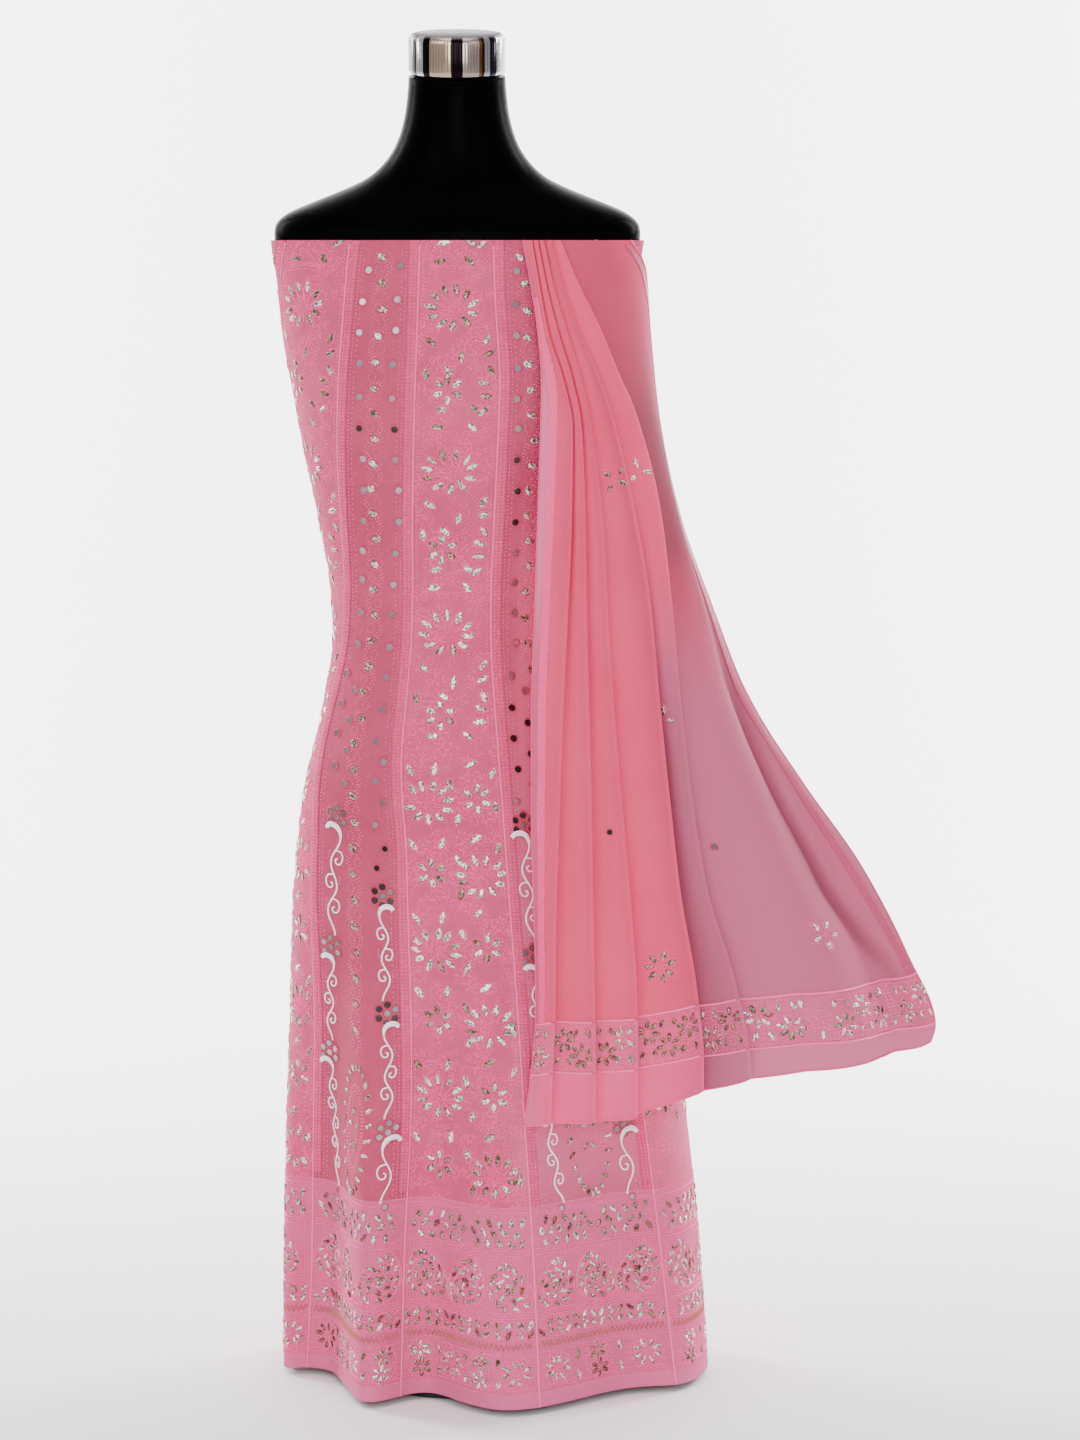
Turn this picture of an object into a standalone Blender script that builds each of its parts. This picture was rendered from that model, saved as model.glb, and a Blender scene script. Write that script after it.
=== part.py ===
"""Anarkali kurta set on a limbless dress form.

A pink georgette kurta of ten flared panels (kalis) is wrapped as a strapless tube round a black glossy
dress form, with its folds opening towards the floor-length hem. A dupatta hangs from the kurta's upper
edge in five knife pleats and flares out free to the viewer's right, with an embroidered end band, a plain
hem strip and a lace along each long edge. The form stands on a pole and a round base under the skirt.

Units are metres, +Z is up, the front faces -Y, left is -X and the floor is z = 0. A turn is an angle in
degrees round the form, 0 at the front and growing towards the right side.
"""
import math

import bpy
import numpy as np

# Driving sizes
RIM_HEIGHT = 1.222            # upper edge of the kurta where it passes the sides
RIM_SLOPE = 0.12              # the cut of that edge rises this much per metre towards the front
RIM_SLOPE_REACH = 0.12        # the rings above this depth below the rim share the slope
HEM_HEIGHT = 0.008            # the kurta ends this far above the floor
KURTA_WALL = 0.0012
KURTA_RINGS = 23
RING_CROWDING = 1.25          # above 1, the rings and rows crowd towards the rim
SEAM_GAP = 0.0003
DUPATTA_WALL = 0.0010
DUPATTA_DROP = 0.930          # drop of the lower edge, as in the table of its sections
DUPATTA_ROWS = 16             # rows of the cloth above the end band
END_ROWS = 2                  # rows of the end band, and of the hem strip below it
DUPATTA_SEAM_GAP = 0.0005
DUPATTA_REST = 0.00045        # clear space between the kurta and the dupatta at the rim
BAND_TOP = 0.820              # drop at which the embroidered end band starts
BAND_BOTTOM = 0.874           # drop at which it gives way to the plain hem strip
LACE_WALL = 0.0008
LACE_GAP = 0.0004
LACE_TOP = 0.060              # drop at which both laces come out of the gathers
FORM_SIDES = 30
BASE_SIDES = 36
POLE_SIDES = 18
FORM_LOWEST_STEP = 0.03       # the form's lowest rings keep this distance from the next
BASE_RADIUS = 0.110
POLE_RADIUS = 0.014
CAP_RADIUS = 0.0502

# The kurta's outer surface: half widths to the left and right, depths to the front and back
KURTA_SECTIONS = (
    # height left   right  front  back
    (1.222, 0.195, 0.195, 0.090, 0.085),
    (1.160, 0.186, 0.186, 0.108, 0.094),
    (1.100, 0.179, 0.179, 0.124, 0.097),
    (1.030, 0.167, 0.167, 0.114, 0.092),
    (0.940, 0.149, 0.149, 0.098, 0.080),
    (0.860, 0.135, 0.135, 0.090, 0.071),
    (0.810, 0.132, 0.132, 0.091, 0.072),
    (0.750, 0.139, 0.140, 0.098, 0.084),
    (0.690, 0.152, 0.155, 0.107, 0.102),
    (0.630, 0.165, 0.172, 0.113, 0.114),
    (0.520, 0.176, 0.200, 0.122, 0.122),
    (0.400, 0.180, 0.226, 0.134, 0.131),
    (0.200, 0.187, 0.252, 0.151, 0.147),
    (0.008, 0.190, 0.267, 0.165, 0.160),
)

# Turns of the seams between the kalis; the two front seams of each side are uneven
KURTA_SEAMS = (
    # height in_l  in_r  out_l  out_r side   rear   back
    (1.222, 11.0, 11.2, 34.0, 34.0, 65.0, 120.0, 160.0),
    (1.180, 11.8, 12.0, 37.0, 37.0, 76.0, 122.0, 160.0),
    (1.080, 14.0, 14.8, 44.0, 44.0, 93.0, 128.0, 161.0),
    (0.856, 20.2, 15.2, 61.8, 60.0, 108.0, 138.0, 163.0),
    (0.710, 22.9, 16.3, 71.7, 66.0, 108.0, 137.0, 163.0),
    (0.585, 18.1, 16.2, 64.3, 60.0, 105.0, 135.0, 163.0),
    (0.350, 15.6, 16.8, 57.0, 54.4, 102.0, 134.0, 163.0),
    (0.160, 17.7, 18.1, 56.5, 56.7, 101.0, 134.0, 163.0),
    (0.008, 18.9, 18.8, 59.5, 60.0, 101.0, 134.0, 163.0),
)

# Skirt folds at the hem: how far the cloth stands out to the front or back, and where the fold starts
KURTA_FOLDS = (
    # turn   push    start
    (-112.0, 0.010, 0.50),
    (-90.0, 0.000, 0.56),
    (-47.0, -0.082, 0.58),
    (-32.0, 0.006, 0.52),
    (-10.0, -0.050, 0.62),
    (12.0, 0.016, 0.62),
    (41.0, -0.026, 0.56),
    (68.0, 0.007, 0.50),
    (90.0, 0.000, 0.50),
    (112.0, -0.022, 0.55),
    (131.0, 0.012, 0.55),
    (150.0, -0.030, 0.60),
    (170.0, 0.014, 0.60),
    (191.0, -0.028, 0.60),
    (210.0, 0.012, 0.58),
    (229.0, -0.026, 0.55),
)

# One kali between each seam and the next, from the back's left seam round the front to the back centre
KALIS = (
    # name                columns  finish
    ("kali_back_left", 6, "vine"),
    ("kali_rear_left", 8, "mirror"),
    ("kali_side_left", 7, "vine"),
    ("kali_front_left", 9, "mirror"),
    ("kali_front_centre", 8, "vine"),
    ("kali_front_right", 8, "mirror"),
    ("kali_side_right", 7, "vine"),
    ("kali_rear_right", 8, "mirror"),
    ("kali_back_right", 6, "vine"),
    ("kali_back_centre", 6, "mirror"),
)

# The dupatta at several drops below its upper edge: x of the left edge and of the five folded edges, how
# far each pleat is tucked back under its edge, the pitch of its layers, and the oval on which the cloth
# lies, with the turn at which the right edge ends on it
DUPATTA_SECTIONS = (
    # drop  edge   fold_1 fold_2 fold_3 fold_4 fold_5 tuck    layer   reach  depth  turn
    (0.000, 0.068, 0.077, 0.083, 0.089, 0.096, 0.106, 0.0035, 0.0020, 0.1965, 0.090, 66.0),
    (0.050, 0.077, 0.085, 0.092, 0.099, 0.109, 0.125, 0.0040, 0.0021, 0.1965, 0.108, 85.0),
    (0.100, 0.084, 0.094, 0.104, 0.113, 0.125, 0.146, 0.0050, 0.0022, 0.1995, 0.123, 96.0),
    (0.150, 0.087, 0.109, 0.118, 0.127, 0.144, 0.164, 0.0055, 0.0024, 0.2045, 0.129, 98.0),
    (0.200, 0.086, 0.118, 0.127, 0.137, 0.159, 0.182, 0.0060, 0.0027, 0.2110, 0.131, 98.0),
    (0.300, 0.083, 0.117, 0.131, 0.149, 0.181, 0.206, 0.0085, 0.0033, 0.2330, 0.131, 97.0),
    (0.400, 0.080, 0.113, 0.133, 0.155, 0.198, 0.219, 0.0100, 0.0038, 0.267, 0.131, 94.0),
    (0.500, 0.077, 0.109, 0.136, 0.162, 0.208, 0.229, 0.0100, 0.0042, 0.306, 0.132, 90.0),
    (0.600, 0.077, 0.106, 0.139, 0.171, 0.219, 0.242, 0.0100, 0.0046, 0.363, 0.134, 86.0),
    (0.700, 0.080, 0.103, 0.141, 0.180, 0.231, 0.259, 0.0100, 0.0050, 0.427, 0.138, 82.0),
    (0.800, 0.082, 0.102, 0.143, 0.187, 0.248, 0.288, 0.0090, 0.0052, 0.479, 0.144, 80.0),
    (0.880, 0.076, 0.099, 0.144, 0.188, 0.256, 0.304, 0.0090, 0.0052, 0.513, 0.150, 78.0),
    (0.930, 0.069, 0.097, 0.144, 0.187, 0.256, 0.306, 0.0090, 0.0052, 0.508, 0.155, 78.0),
)
FOLD_COUNT = 5
# Lengths of the dupatta's threads from its upper edge to the hem strip, and the strip's height under them
DUPATTA_THREADS = (
    # column length strip
    (0, 0.876, 0.054),
    (24, 0.876, 0.051),
    (33, 0.873, 0.038),
    (42, 0.880, 0.032),
    (50, 0.884, 0.029),
    (55, 0.904, 0.026),
    (60, 0.926, 0.021),
)
FOLD_ROUND = 0.0010           # the folded edges bend within this distance
LEAST_FALL = 0.4              # a thread falls at least this share of its own length
LACE_SHARES = (0.20, 0.54, 0.88)      # of the first stretch, where the left lace lies
LACE_MARGINS = (0.028, 0.019, 0.010)  # distances of the right lace's columns from the right edge
FLARE_COLUMNS = 10
FLARE_STEPS = 60              # steps in which the flare's width is measured
RING_STEPS = 8                # steps to each column in which a kali's width is measured
TURN_STEP = 0.5               # degrees to each side over which a ring's direction is taken
SHARP_ANGLE = 40.0            # edges bent further than this are shaded sharp
# Soft waves of the flare, by share of its width: how far it stands out at the lower edge
FLARE_WAVES = (
    # share push
    (0.00, 0.000),
    (0.36, 0.011),
    (0.74, -0.013),
    (1.00, 0.004),
)

# The dress form: half width, depth to the front and back. Below the rim it follows the kurta's sections
NECK_AND_SHOULDERS = (
    # height half    front   back
    (1.236, 0.1925, 0.0872, 0.0822),
    (1.244, 0.1875, 0.0850, 0.0805),
    (1.252, 0.1760, 0.0820, 0.0780),
    (1.260, 0.1560, 0.0780, 0.0750),
    (1.269, 0.1330, 0.0735, 0.0715),
    (1.278, 0.1110, 0.0690, 0.0680),
    (1.287, 0.0930, 0.0650, 0.0645),
    (1.300, 0.0780, 0.0605, 0.0610),
    (1.318, 0.0650, 0.0560, 0.0565),
    (1.340, 0.0570, 0.0525, 0.0535),
    (1.365, 0.0525, 0.0510, 0.0515),
    (1.3930, 0.0505, 0.0500, 0.0505),
)
# How far the form's surface lies inside the kurta's inner wall
FORM_EASE = (
    # height ease
    (0.485, 0.055),
    (0.510, 0.026),
    (0.560, 0.012),
    (0.620, 0.005),
    (1.150, 0.003),
    (1.190, 0.0022),
    (1.222, 0.0012),
)
CAP_PROFILE = (
    # height radius
    (1.3933, CAP_RADIUS - 0.0002),
    (1.3950, CAP_RADIUS),
    (1.4290, CAP_RADIUS),
    (1.4345, CAP_RADIUS - 0.0022),
    (1.4375, CAP_RADIUS - 0.0072),
    (1.4385, CAP_RADIUS - 0.0202),
)
BASE_PROFILE = (
    # height radius
    (0.0000, BASE_RADIUS - 0.0005),
    (0.0010, BASE_RADIUS),
    (0.0045, BASE_RADIUS),
    (0.0060, BASE_RADIUS - 0.0020),
    (0.0075, 0.0600),
    (0.0100, 0.0280),
    (0.0200, 0.0200),
)


FINISHES = (
    # name                   red    green  blue   metallic roughness
    ("georgette_vine_kali", 0.62, 0.16, 0.24, 0.0, 0.80),
    ("georgette_mirror_kali", 0.58, 0.14, 0.22, 0.0, 0.80),
    ("dupatta_georgette", 0.74, 0.24, 0.30, 0.0, 0.75),
    ("dupatta_band", 0.70, 0.22, 0.32, 0.0, 0.75),
    ("dupatta_lace", 0.76, 0.30, 0.38, 0.0, 0.75),
    ("form_black_gloss", 0.006, 0.006, 0.007, 0.0, 0.16),
    ("form_chrome", 0.80, 0.79, 0.80, 1.0, 0.12),
    ("form_dark_steel", 0.02, 0.02, 0.022, 0.6, 0.35),
)


def material(name):
    """The Principled material of one finish."""
    colour, (metallic, roughness) = next((row[1:4], row[4:]) for row in FINISHES if row[0] == name)
    made = bpy.data.materials.new(name)
    made.use_nodes = True
    shader = made.node_tree.nodes["Principled BSDF"]
    shader.inputs["Base Color"].default_value = (*colour, 1.0)
    shader.inputs["Metallic"].default_value = metallic
    shader.inputs["Roughness"].default_value = roughness
    return made


def smooth_table(rows, value):
    """The columns of a table after its first, on a smooth curve through its rows with no overshoot."""
    table = np.array(sorted(rows), dtype=float)
    keys, columns = table[:, 0], table[:, 1:]
    value = min(max(value, keys[0]), keys[-1])
    low = min(int(np.searchsorted(keys, value, side="right")) - 1, len(keys) - 2)
    rises = np.diff(columns, axis=0) / np.diff(keys)[:, None]
    before, after = rises[:-1], rises[1:]
    turning = before * after <= 0
    inner = np.where(turning, 0.0, 2 * before * after / np.where(turning, 1.0, before + after))
    slopes = np.vstack([rises[:1], inner, rises[-1:]])
    step = keys[low + 1] - keys[low]
    s = (value - keys[low]) / step
    start, end = columns[low], columns[low + 1]
    return ((2 * s ** 3 - 3 * s ** 2 + 1) * start + (s ** 3 - 2 * s ** 2 + s) * step * slopes[low]
            + (3 * s ** 2 - 2 * s ** 3) * end + (s ** 3 - s ** 2) * step * slopes[low + 1])


def ease_in_out(value):
    """0 to 1 along a smooth step."""
    value = min(max(value, 0.0), 1.0)
    return value * value * (3 - 2 * value)


def half_cosine(rows, position):
    """The second column of a table at a position of its first, along half cosines."""
    for (start, low, *_), (end, high, *_) in zip(rows, rows[1:]):
        if start <= position <= end:
            return low + (high - low) * 0.5 * (1 - math.cos(math.pi * (position - start) / (end - start)))
    return rows[-1][1]


def fold_push(turn, height):
    """How far the skirt's folds carry the cloth out of its section at a turn and height."""
    rows = []
    for fold_turn, push, start in KURTA_FOLDS:
        rows.append((fold_turn, push * ease_in_out((start - height) / (start - HEM_HEIGHT))))
    rows.append((rows[0][0] + 360.0, rows[0][1]))
    first = rows[0][0]
    return half_cosine(rows, first + (turn - first) % 360.0)


def kurta_point(turn, height):
    """A point (x, y) of the kurta's outer surface."""
    left, right, front, back = smooth_table(KURTA_SECTIONS, height)
    angle = math.radians(turn)
    sine, cosine = math.sin(angle), math.cos(angle)
    x = (right if sine > 0 else left) * sine
    y = -(front if cosine > 0 else back) * cosine
    push = fold_push(turn, height)
    return x, y - (push if cosine > 0 else -push)


def ring_point(turn, height):
    """A point (x, y, z) of one of the kurta's rings, which share the rim's slope near the rim."""
    slope = RIM_SLOPE * ease_in_out((height - RIM_HEIGHT + RIM_SLOPE_REACH) / RIM_SLOPE_REACH)
    x, y = kurta_point(turn, height)
    x, y = kurta_point(turn, height - slope * y)
    return np.array([x, y, height - slope * y])


def ring_heights():
    """The heights of the kurta's rings, closer together near the rim."""
    shares = np.linspace(0, 1, KURTA_RINGS) ** RING_CROWDING
    return RIM_HEIGHT + (HEM_HEIGHT - RIM_HEIGHT) * shares


def seam_turns(height):
    """The turns of all seams at a height, from the back's left seam round to it again."""
    in_l, in_r, out_l, out_r, side, rear, back = smooth_table(KURTA_SEAMS, height)
    return (-back, -rear, -side, -out_l, -in_l, in_r, out_r, side, rear, back, 360.0 - back)


def unit(vector):
    return vector / np.linalg.norm(vector)


def run_along(path):
    """The distance along a path at each of its points."""
    return np.concatenate([[0.0], np.cumsum(np.linalg.norm(np.diff(path, axis=0), axis=1))])


def kali_row(start, end, columns, height):
    """Outer and inner points of one kali's ring: columns equal widths of cloth between its two seams."""
    turns = np.linspace(start, end, RING_STEPS * columns + 1)
    path = np.array([ring_point(turn, height) for turn in turns])
    run = run_along(path)
    outer, inner = [], []
    for column in range(columns + 1):
        along = run[-1] * column / columns
        along += {0: SEAM_GAP / 2, columns: -SEAM_GAP / 2}.get(column, 0.0)
        turn = np.interp(along, run, turns)
        point = ring_point(turn, height)
        ahead = ring_point(turn + TURN_STEP, height) - ring_point(turn - TURN_STEP, height)
        inward = unit(np.array([-ahead[1], ahead[0], 0.0]))
        outer.append(point)
        inner.append(point + inward * KURTA_WALL)
    return outer, inner


def add_object(name, points, faces, finish):
    """One closed, smooth-shaded mesh object."""
    mesh = bpy.data.meshes.new(name)
    mesh.from_pydata([tuple(map(float, point)) for point in points], [], faces)
    mesh.materials.append(finish)
    mesh.shade_smooth()
    mesh.set_sharp_from_angle(angle=math.radians(SHARP_ANGLE))
    made = bpy.data.objects.new(name, mesh)
    bpy.context.scene.collection.objects.link(made)
    return made


def add_wall(name, outer, inner, finish):
    """A wall of cloth between two grids of points, rows from top to bottom, columns from left to right.
    Both sides are split into triangles along the same, shorter diagonals, and so are edges that meet.
    """
    rows, columns = len(outer), len(outer[0])
    points = [point for row in outer for point in row] + [point for row in inner for point in row]
    back = rows * columns
    faces = []
    for row in range(rows - 1):
        for column in range(columns - 1):
            a = row * columns + column
            b, c, d = a + columns, a + columns + 1, a + 1
            if np.linalg.norm(outer[row][column] - outer[row + 1][column + 1]) > np.linalg.norm(
                    outer[row + 1][column] - outer[row][column + 1]):
                a, b, c, d = b, c, d, a
            faces += [(a, b, c), (a, c, d), (back + a, back + c, back + b), (back + a, back + d, back + c)]
    top = list(range(columns))
    right = [row * columns + columns - 1 for row in range(rows)]
    bottom = [(rows - 1) * columns + column for column in reversed(range(columns))]
    left = [row * columns for row in reversed(range(rows))]
    for edge in (top, right):
        for start, end in zip(edge, edge[1:]):
            faces += [(start, end, back + end), (start, back + end, back + start)]
    for edge in (bottom, left):
        for start, end in zip(edge, edge[1:]):
            faces += [(start, end, back + start), (end, back + end, back + start)]
    return add_object(name, points, faces, finish)


def add_kalis():
    """The kurta's ten kalis, 0.3 mm apart along their seams."""
    finishes = {"vine": material("georgette_vine_kali"), "mirror": material("georgette_mirror_kali")}
    heights = ring_heights()
    for number, (name, columns, finish) in enumerate(KALIS):
        outer, inner = [], []
        for height in heights:
            seams = seam_turns(height)
            outer_row, inner_row = kali_row(seams[number], seams[number + 1], columns, height)
            outer.append(outer_row)
            inner.append(inner_row)
        add_wall(name, outer, inner, finishes[finish])


def pleat_stations(row):
    """The dupatta's section up to its last folded edge: x and layer number of each column."""
    edge, folds, tuck = row[0], row[1:1 + FOLD_COUNT], row[1 + FOLD_COUNT]
    first_top = folds[0] - tuck
    stations = [(edge, 0.0)]
    for share in LACE_SHARES:
        stations.append((edge + share * (first_top - edge), 2 * ease_in_out(share)))
    for number, fold in enumerate(folds):
        stations += [(fold - tuck, 2.0), (fold - FOLD_ROUND, 2.0), (fold, 1.5), (fold - FOLD_ROUND, 1.0),
                     (fold - tuck + FOLD_ROUND, 1.0), (fold - tuck, 0.5), (fold - tuck + FOLD_ROUND, 0.0)]
        if number + 1 < len(folds):
            below = fold + FOLD_ROUND
            next_top = folds[number + 1] - tuck
            stations += [(below, 0.0), ((below + next_top) / 2, 1.0)]
    return stations


def oval_point(turn, reach, depth, lift):
    """A point (x, y) that stands out by lift from the oval on which the dupatta lies."""
    angle = math.radians(turn)
    outward = unit(np.array([math.sin(angle) / reach, -math.cos(angle) / depth]))
    return np.array([reach * math.sin(angle), -depth * math.cos(angle)]) + outward * lift


def dupatta_row(drop):
    """The middle of the dupatta's cloth at one drop: (x, y) of each column, left edge to right edge."""
    row = smooth_table(DUPATTA_SECTIONS, drop)
    layer, reach, depth, turn_end = row[-4:]
    rest = DUPATTA_REST + DUPATTA_WALL / 2
    path = []
    for x, level in pleat_stations(row):
        turn = math.degrees(math.asin(x / reach))
        path.append(oval_point(turn, reach, depth, rest + level * layer))
    turn_start = math.degrees(math.asin((row[FOLD_COUNT] + FOLD_ROUND) / reach))
    fine = []
    for share in np.linspace(0, 1, FLARE_STEPS + 1):
        push = half_cosine(FLARE_WAVES, share) * ease_in_out(drop / DUPATTA_DROP)
        turn = turn_start + (turn_end - turn_start) * share
        fine.append(oval_point(turn, reach, depth, rest + push))
    fine = np.array(fine)
    run = run_along(fine)
    stops = list(np.linspace(0, run[-1] - LACE_MARGINS[0], FLARE_COLUMNS + 1))
    stops += [run[-1] - margin for margin in LACE_MARGINS[1:]] + [run[-1]]
    for stop in stops:
        path.append(np.array([np.interp(stop, run, fine[:, 0]), np.interp(stop, run, fine[:, 1])]))
    return np.array(path)


def thread_stretches(path):
    """Each column's length for a metre of drop, above the hem strip and along it."""
    columns, lengths, strips = zip(*DUPATTA_THREADS)
    run = run_along(path)
    stops = [run[column] for column in columns]
    return np.interp(run, stops, lengths) / BAND_BOTTOM, np.interp(run, stops, strips) / (DUPATTA_DROP - BAND_BOTTOM)


def dupatta_surface():
    """Drops, points and outward directions of the dupatta's rows. Each thread keeps its own length."""
    half_gap = DUPATTA_SEAM_GAP / 2
    drops = list((BAND_TOP - half_gap) * np.linspace(0, 1, DUPATTA_ROWS) ** RING_CROWDING)
    drops += list(np.linspace(BAND_TOP + half_gap, BAND_BOTTOM - half_gap, END_ROWS))
    drops += list(np.linspace(BAND_BOTTOM + half_gap, DUPATTA_DROP, END_ROWS))
    flat = [dupatta_row(drop) for drop in drops]
    heights = RIM_HEIGHT - RIM_SLOPE * flat[0][:, 1]
    above, along_strip = thread_stretches(flat[-1])
    rows, outwards = [], []
    for number, path in enumerate(flat):
        if number:
            moved = np.linalg.norm(path - flat[number - 1], axis=1)
            stretch = above if number <= DUPATTA_ROWS + END_ROWS else along_strip
            length = (drops[number] - drops[number - 1]) * stretch
            heights = heights - np.sqrt(np.maximum(length ** 2 - moved ** 2, (LEAST_FALL * length) ** 2))
        ahead = np.gradient(path, axis=0)
        for column in range(1, len(path) - 1):
            ahead[column] = unit(path[column + 1] - path[column]) + unit(path[column] - path[column - 1])
        outward = np.array([unit(np.array([direction[1], -direction[0]])) for direction in ahead])
        rows.append(np.column_stack([path, heights]))
        outwards.append(np.column_stack([outward, np.zeros(len(path))]))
    return drops, rows, outwards


def add_sheet(name, rows, outwards, thickness, lift, finish):
    """A wall of one thickness whose middle stands out by lift from the given rows."""
    outer = [row + outward * (lift + thickness / 2) for row, outward in zip(rows, outwards)]
    inner = [row + outward * (lift - thickness / 2) for row, outward in zip(rows, outwards)]
    return add_wall(name, outer, inner, finish)


def add_dupatta():
    """The dupatta: cloth, end band and hem strip end to end, and a lace on each long edge."""
    cloth, band, lace = material("dupatta_georgette"), material("dupatta_band"), material("dupatta_lace")
    drops, rows, outwards = dupatta_surface()
    band_start = DUPATTA_ROWS
    strip_start = band_start + END_ROWS
    add_sheet("dupatta_cloth", rows[:band_start], outwards[:band_start], DUPATTA_WALL, 0.0, cloth)
    add_sheet("dupatta_end_band", rows[band_start:strip_start], outwards[band_start:strip_start],
              DUPATTA_WALL, 0.0, band)
    add_sheet("dupatta_hem_strip", rows[strip_start:], outwards[strip_start:], DUPATTA_WALL, 0.0, cloth)
    lift = (DUPATTA_WALL + LACE_WALL) / 2 + LACE_GAP
    lace_rows = [number for number in range(band_start) if drops[number] >= LACE_TOP]
    for name, columns in (("dupatta_lace_left", slice(1, 4)), ("dupatta_lace_right", slice(-4, -1))):
        add_sheet(name, [rows[number][columns] for number in lace_rows],
                  [outwards[number][columns] for number in lace_rows], LACE_WALL, lift, lace)


def form_section(height):
    """Half width, front and back of the dress form at a height."""
    if height > RIM_HEIGHT:
        return smooth_table(NECK_AND_SHOULDERS + ((RIM_HEIGHT, *form_section(RIM_HEIGHT)),), height)
    left, _, front, back = smooth_table(KURTA_SECTIONS, height)
    heights, eases = zip(*FORM_EASE)
    return np.array([left, front, back]) - KURTA_WALL - np.interp(height, heights, eases)


def add_lofted(name, rings, finish):
    """A solid of stacked closed rings, the lowest first, closed by a flat cap at each end."""
    sides = len(rings[0])
    points = [point for ring in rings for point in ring]
    faces = []
    for ring in range(len(rings) - 1):
        for side in range(sides):
            a = ring * sides + side
            b = ring * sides + (side + 1) % sides
            faces += [(a, b, b + sides), (a, b + sides, a + sides)]
    low, high = len(points), len(points) + 1
    points += [np.mean(rings[0], axis=0), np.mean(rings[-1], axis=0)]
    last = (len(rings) - 1) * sides
    for side in range(sides):
        following = (side + 1) % sides
        faces += [(low, following, side), (high, last + side, last + following)]
    return add_object(name, points, faces, finish)


def add_turned(name, profile, sides, finish):
    """A round solid from rows of height and radius, the lowest first."""
    rings = []
    for height, radius in profile:
        angles = np.linspace(0, 2 * math.pi, sides, endpoint=False)
        rings.append([(radius * math.cos(angle), radius * math.sin(angle), height) for angle in angles])
    return add_lofted(name, rings, finish)


def add_dress_form():
    """Torso, neck cap, pole and base, which carry the cloth."""
    gloss, chrome, steel = material("form_black_gloss"), material("form_chrome"), material("form_dark_steel")
    heights = [row[0] for row in FORM_EASE[:3]]
    heights += [height for height in sorted(ring_heights()) if height > heights[-1] + FORM_LOWEST_STEP]
    heights += [row[0] for row in NECK_AND_SHOULDERS]
    rings = []
    for height in heights:
        half, front, back = form_section(height)
        ring = []
        for side in range(FORM_SIDES):
            angle = 2 * math.pi * side / FORM_SIDES
            y = -math.cos(angle) * (front if math.cos(angle) > 0 else back)
            ring.append((half * math.sin(angle), y, height))
        rings.append(ring)
    add_lofted("form_torso", rings, gloss)
    add_turned("form_neck_cap", CAP_PROFILE, FORM_SIDES, chrome)
    add_turned("form_base", BASE_PROFILE, BASE_SIDES, steel)
    pole = ((BASE_PROFILE[-1][0] + SEAM_GAP, POLE_RADIUS), (FORM_EASE[0][0] - SEAM_GAP, POLE_RADIUS))
    add_turned("form_pole", pole, POLE_SIDES, steel)


for leftover in list(bpy.data.objects):
    bpy.data.objects.remove(leftover, do_unlink=True)
add_dress_form()
add_kalis()
add_dupatta()
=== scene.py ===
"""Anarkali kurta set on a dress form: the looks of every surface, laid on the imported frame."""

import math
import random

import bpy
import numpy as np
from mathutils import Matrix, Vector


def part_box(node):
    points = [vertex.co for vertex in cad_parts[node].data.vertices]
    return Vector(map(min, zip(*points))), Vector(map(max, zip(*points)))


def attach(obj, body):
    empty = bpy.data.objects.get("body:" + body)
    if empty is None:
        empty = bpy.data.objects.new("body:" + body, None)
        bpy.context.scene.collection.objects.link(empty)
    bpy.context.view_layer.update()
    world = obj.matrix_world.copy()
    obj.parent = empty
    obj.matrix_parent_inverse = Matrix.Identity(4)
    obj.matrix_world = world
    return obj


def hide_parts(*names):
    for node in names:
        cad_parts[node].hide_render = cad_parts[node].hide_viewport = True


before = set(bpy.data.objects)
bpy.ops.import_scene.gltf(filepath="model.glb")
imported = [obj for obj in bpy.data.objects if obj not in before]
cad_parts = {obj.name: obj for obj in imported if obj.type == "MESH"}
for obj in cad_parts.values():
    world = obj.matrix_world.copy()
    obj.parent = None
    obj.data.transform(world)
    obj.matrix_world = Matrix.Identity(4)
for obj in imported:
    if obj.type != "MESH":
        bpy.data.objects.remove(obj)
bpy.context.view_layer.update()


# Camera
# A long lens stands in front of the dress, a little above the form's neck, and looks slightly down.
bpy.ops.object.camera_add(location=(0.0862, -7.0, 2.053), rotation=(math.radians(79.16), 0, 0))
camera = bpy.context.object
camera.name = "studio_camera"
camera.data.lens = 168.55
bpy.context.scene.camera = camera


# Studio
# A seamless pale sheet runs from the floor up behind the dress, under soft boxes on both sides and above.
# The sheet has one side only: whoever walks round the dress looks through it from behind.
def feed(made, taker, inputs):
    """Sets a node's inputs; one that is given an output is linked to it."""
    for name, value in inputs.items():
        socket = taker.inputs[name]
        if isinstance(value, bpy.types.NodeSocket):
            made.node_tree.links.new(value, socket)
        else:
            socket.default_value = (*value, 1.0) if socket.type == "RGBA" and len(value) == 3 else value


def node(made, kind, output, inputs=(), **settings):
    """An output of a new node in a material; its inputs are given by name."""
    new = made.node_tree.nodes.new("ShaderNode" + kind)
    for name, value in settings.items():
        setattr(new, name, value)
    feed(made, new, dict(inputs))
    return new.outputs[output]


def ramp(made, factor, stops, interpolation="LINEAR"):
    """The outputs of a new colour ramp, whose stops are a place and a colour."""
    new = made.node_tree.nodes.new("ShaderNodeValToRGB")
    new.color_ramp.interpolation = interpolation
    new.color_ramp.elements.remove(new.color_ramp.elements[1])
    for number, (at, *shade) in enumerate(stops):
        stop = new.color_ramp.elements.new(at) if number else new.color_ramp.elements[0]
        stop.color = (*shade, 1.0)[:4]
    made.node_tree.links.new(factor, new.inputs["Fac"])
    return new.outputs


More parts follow.
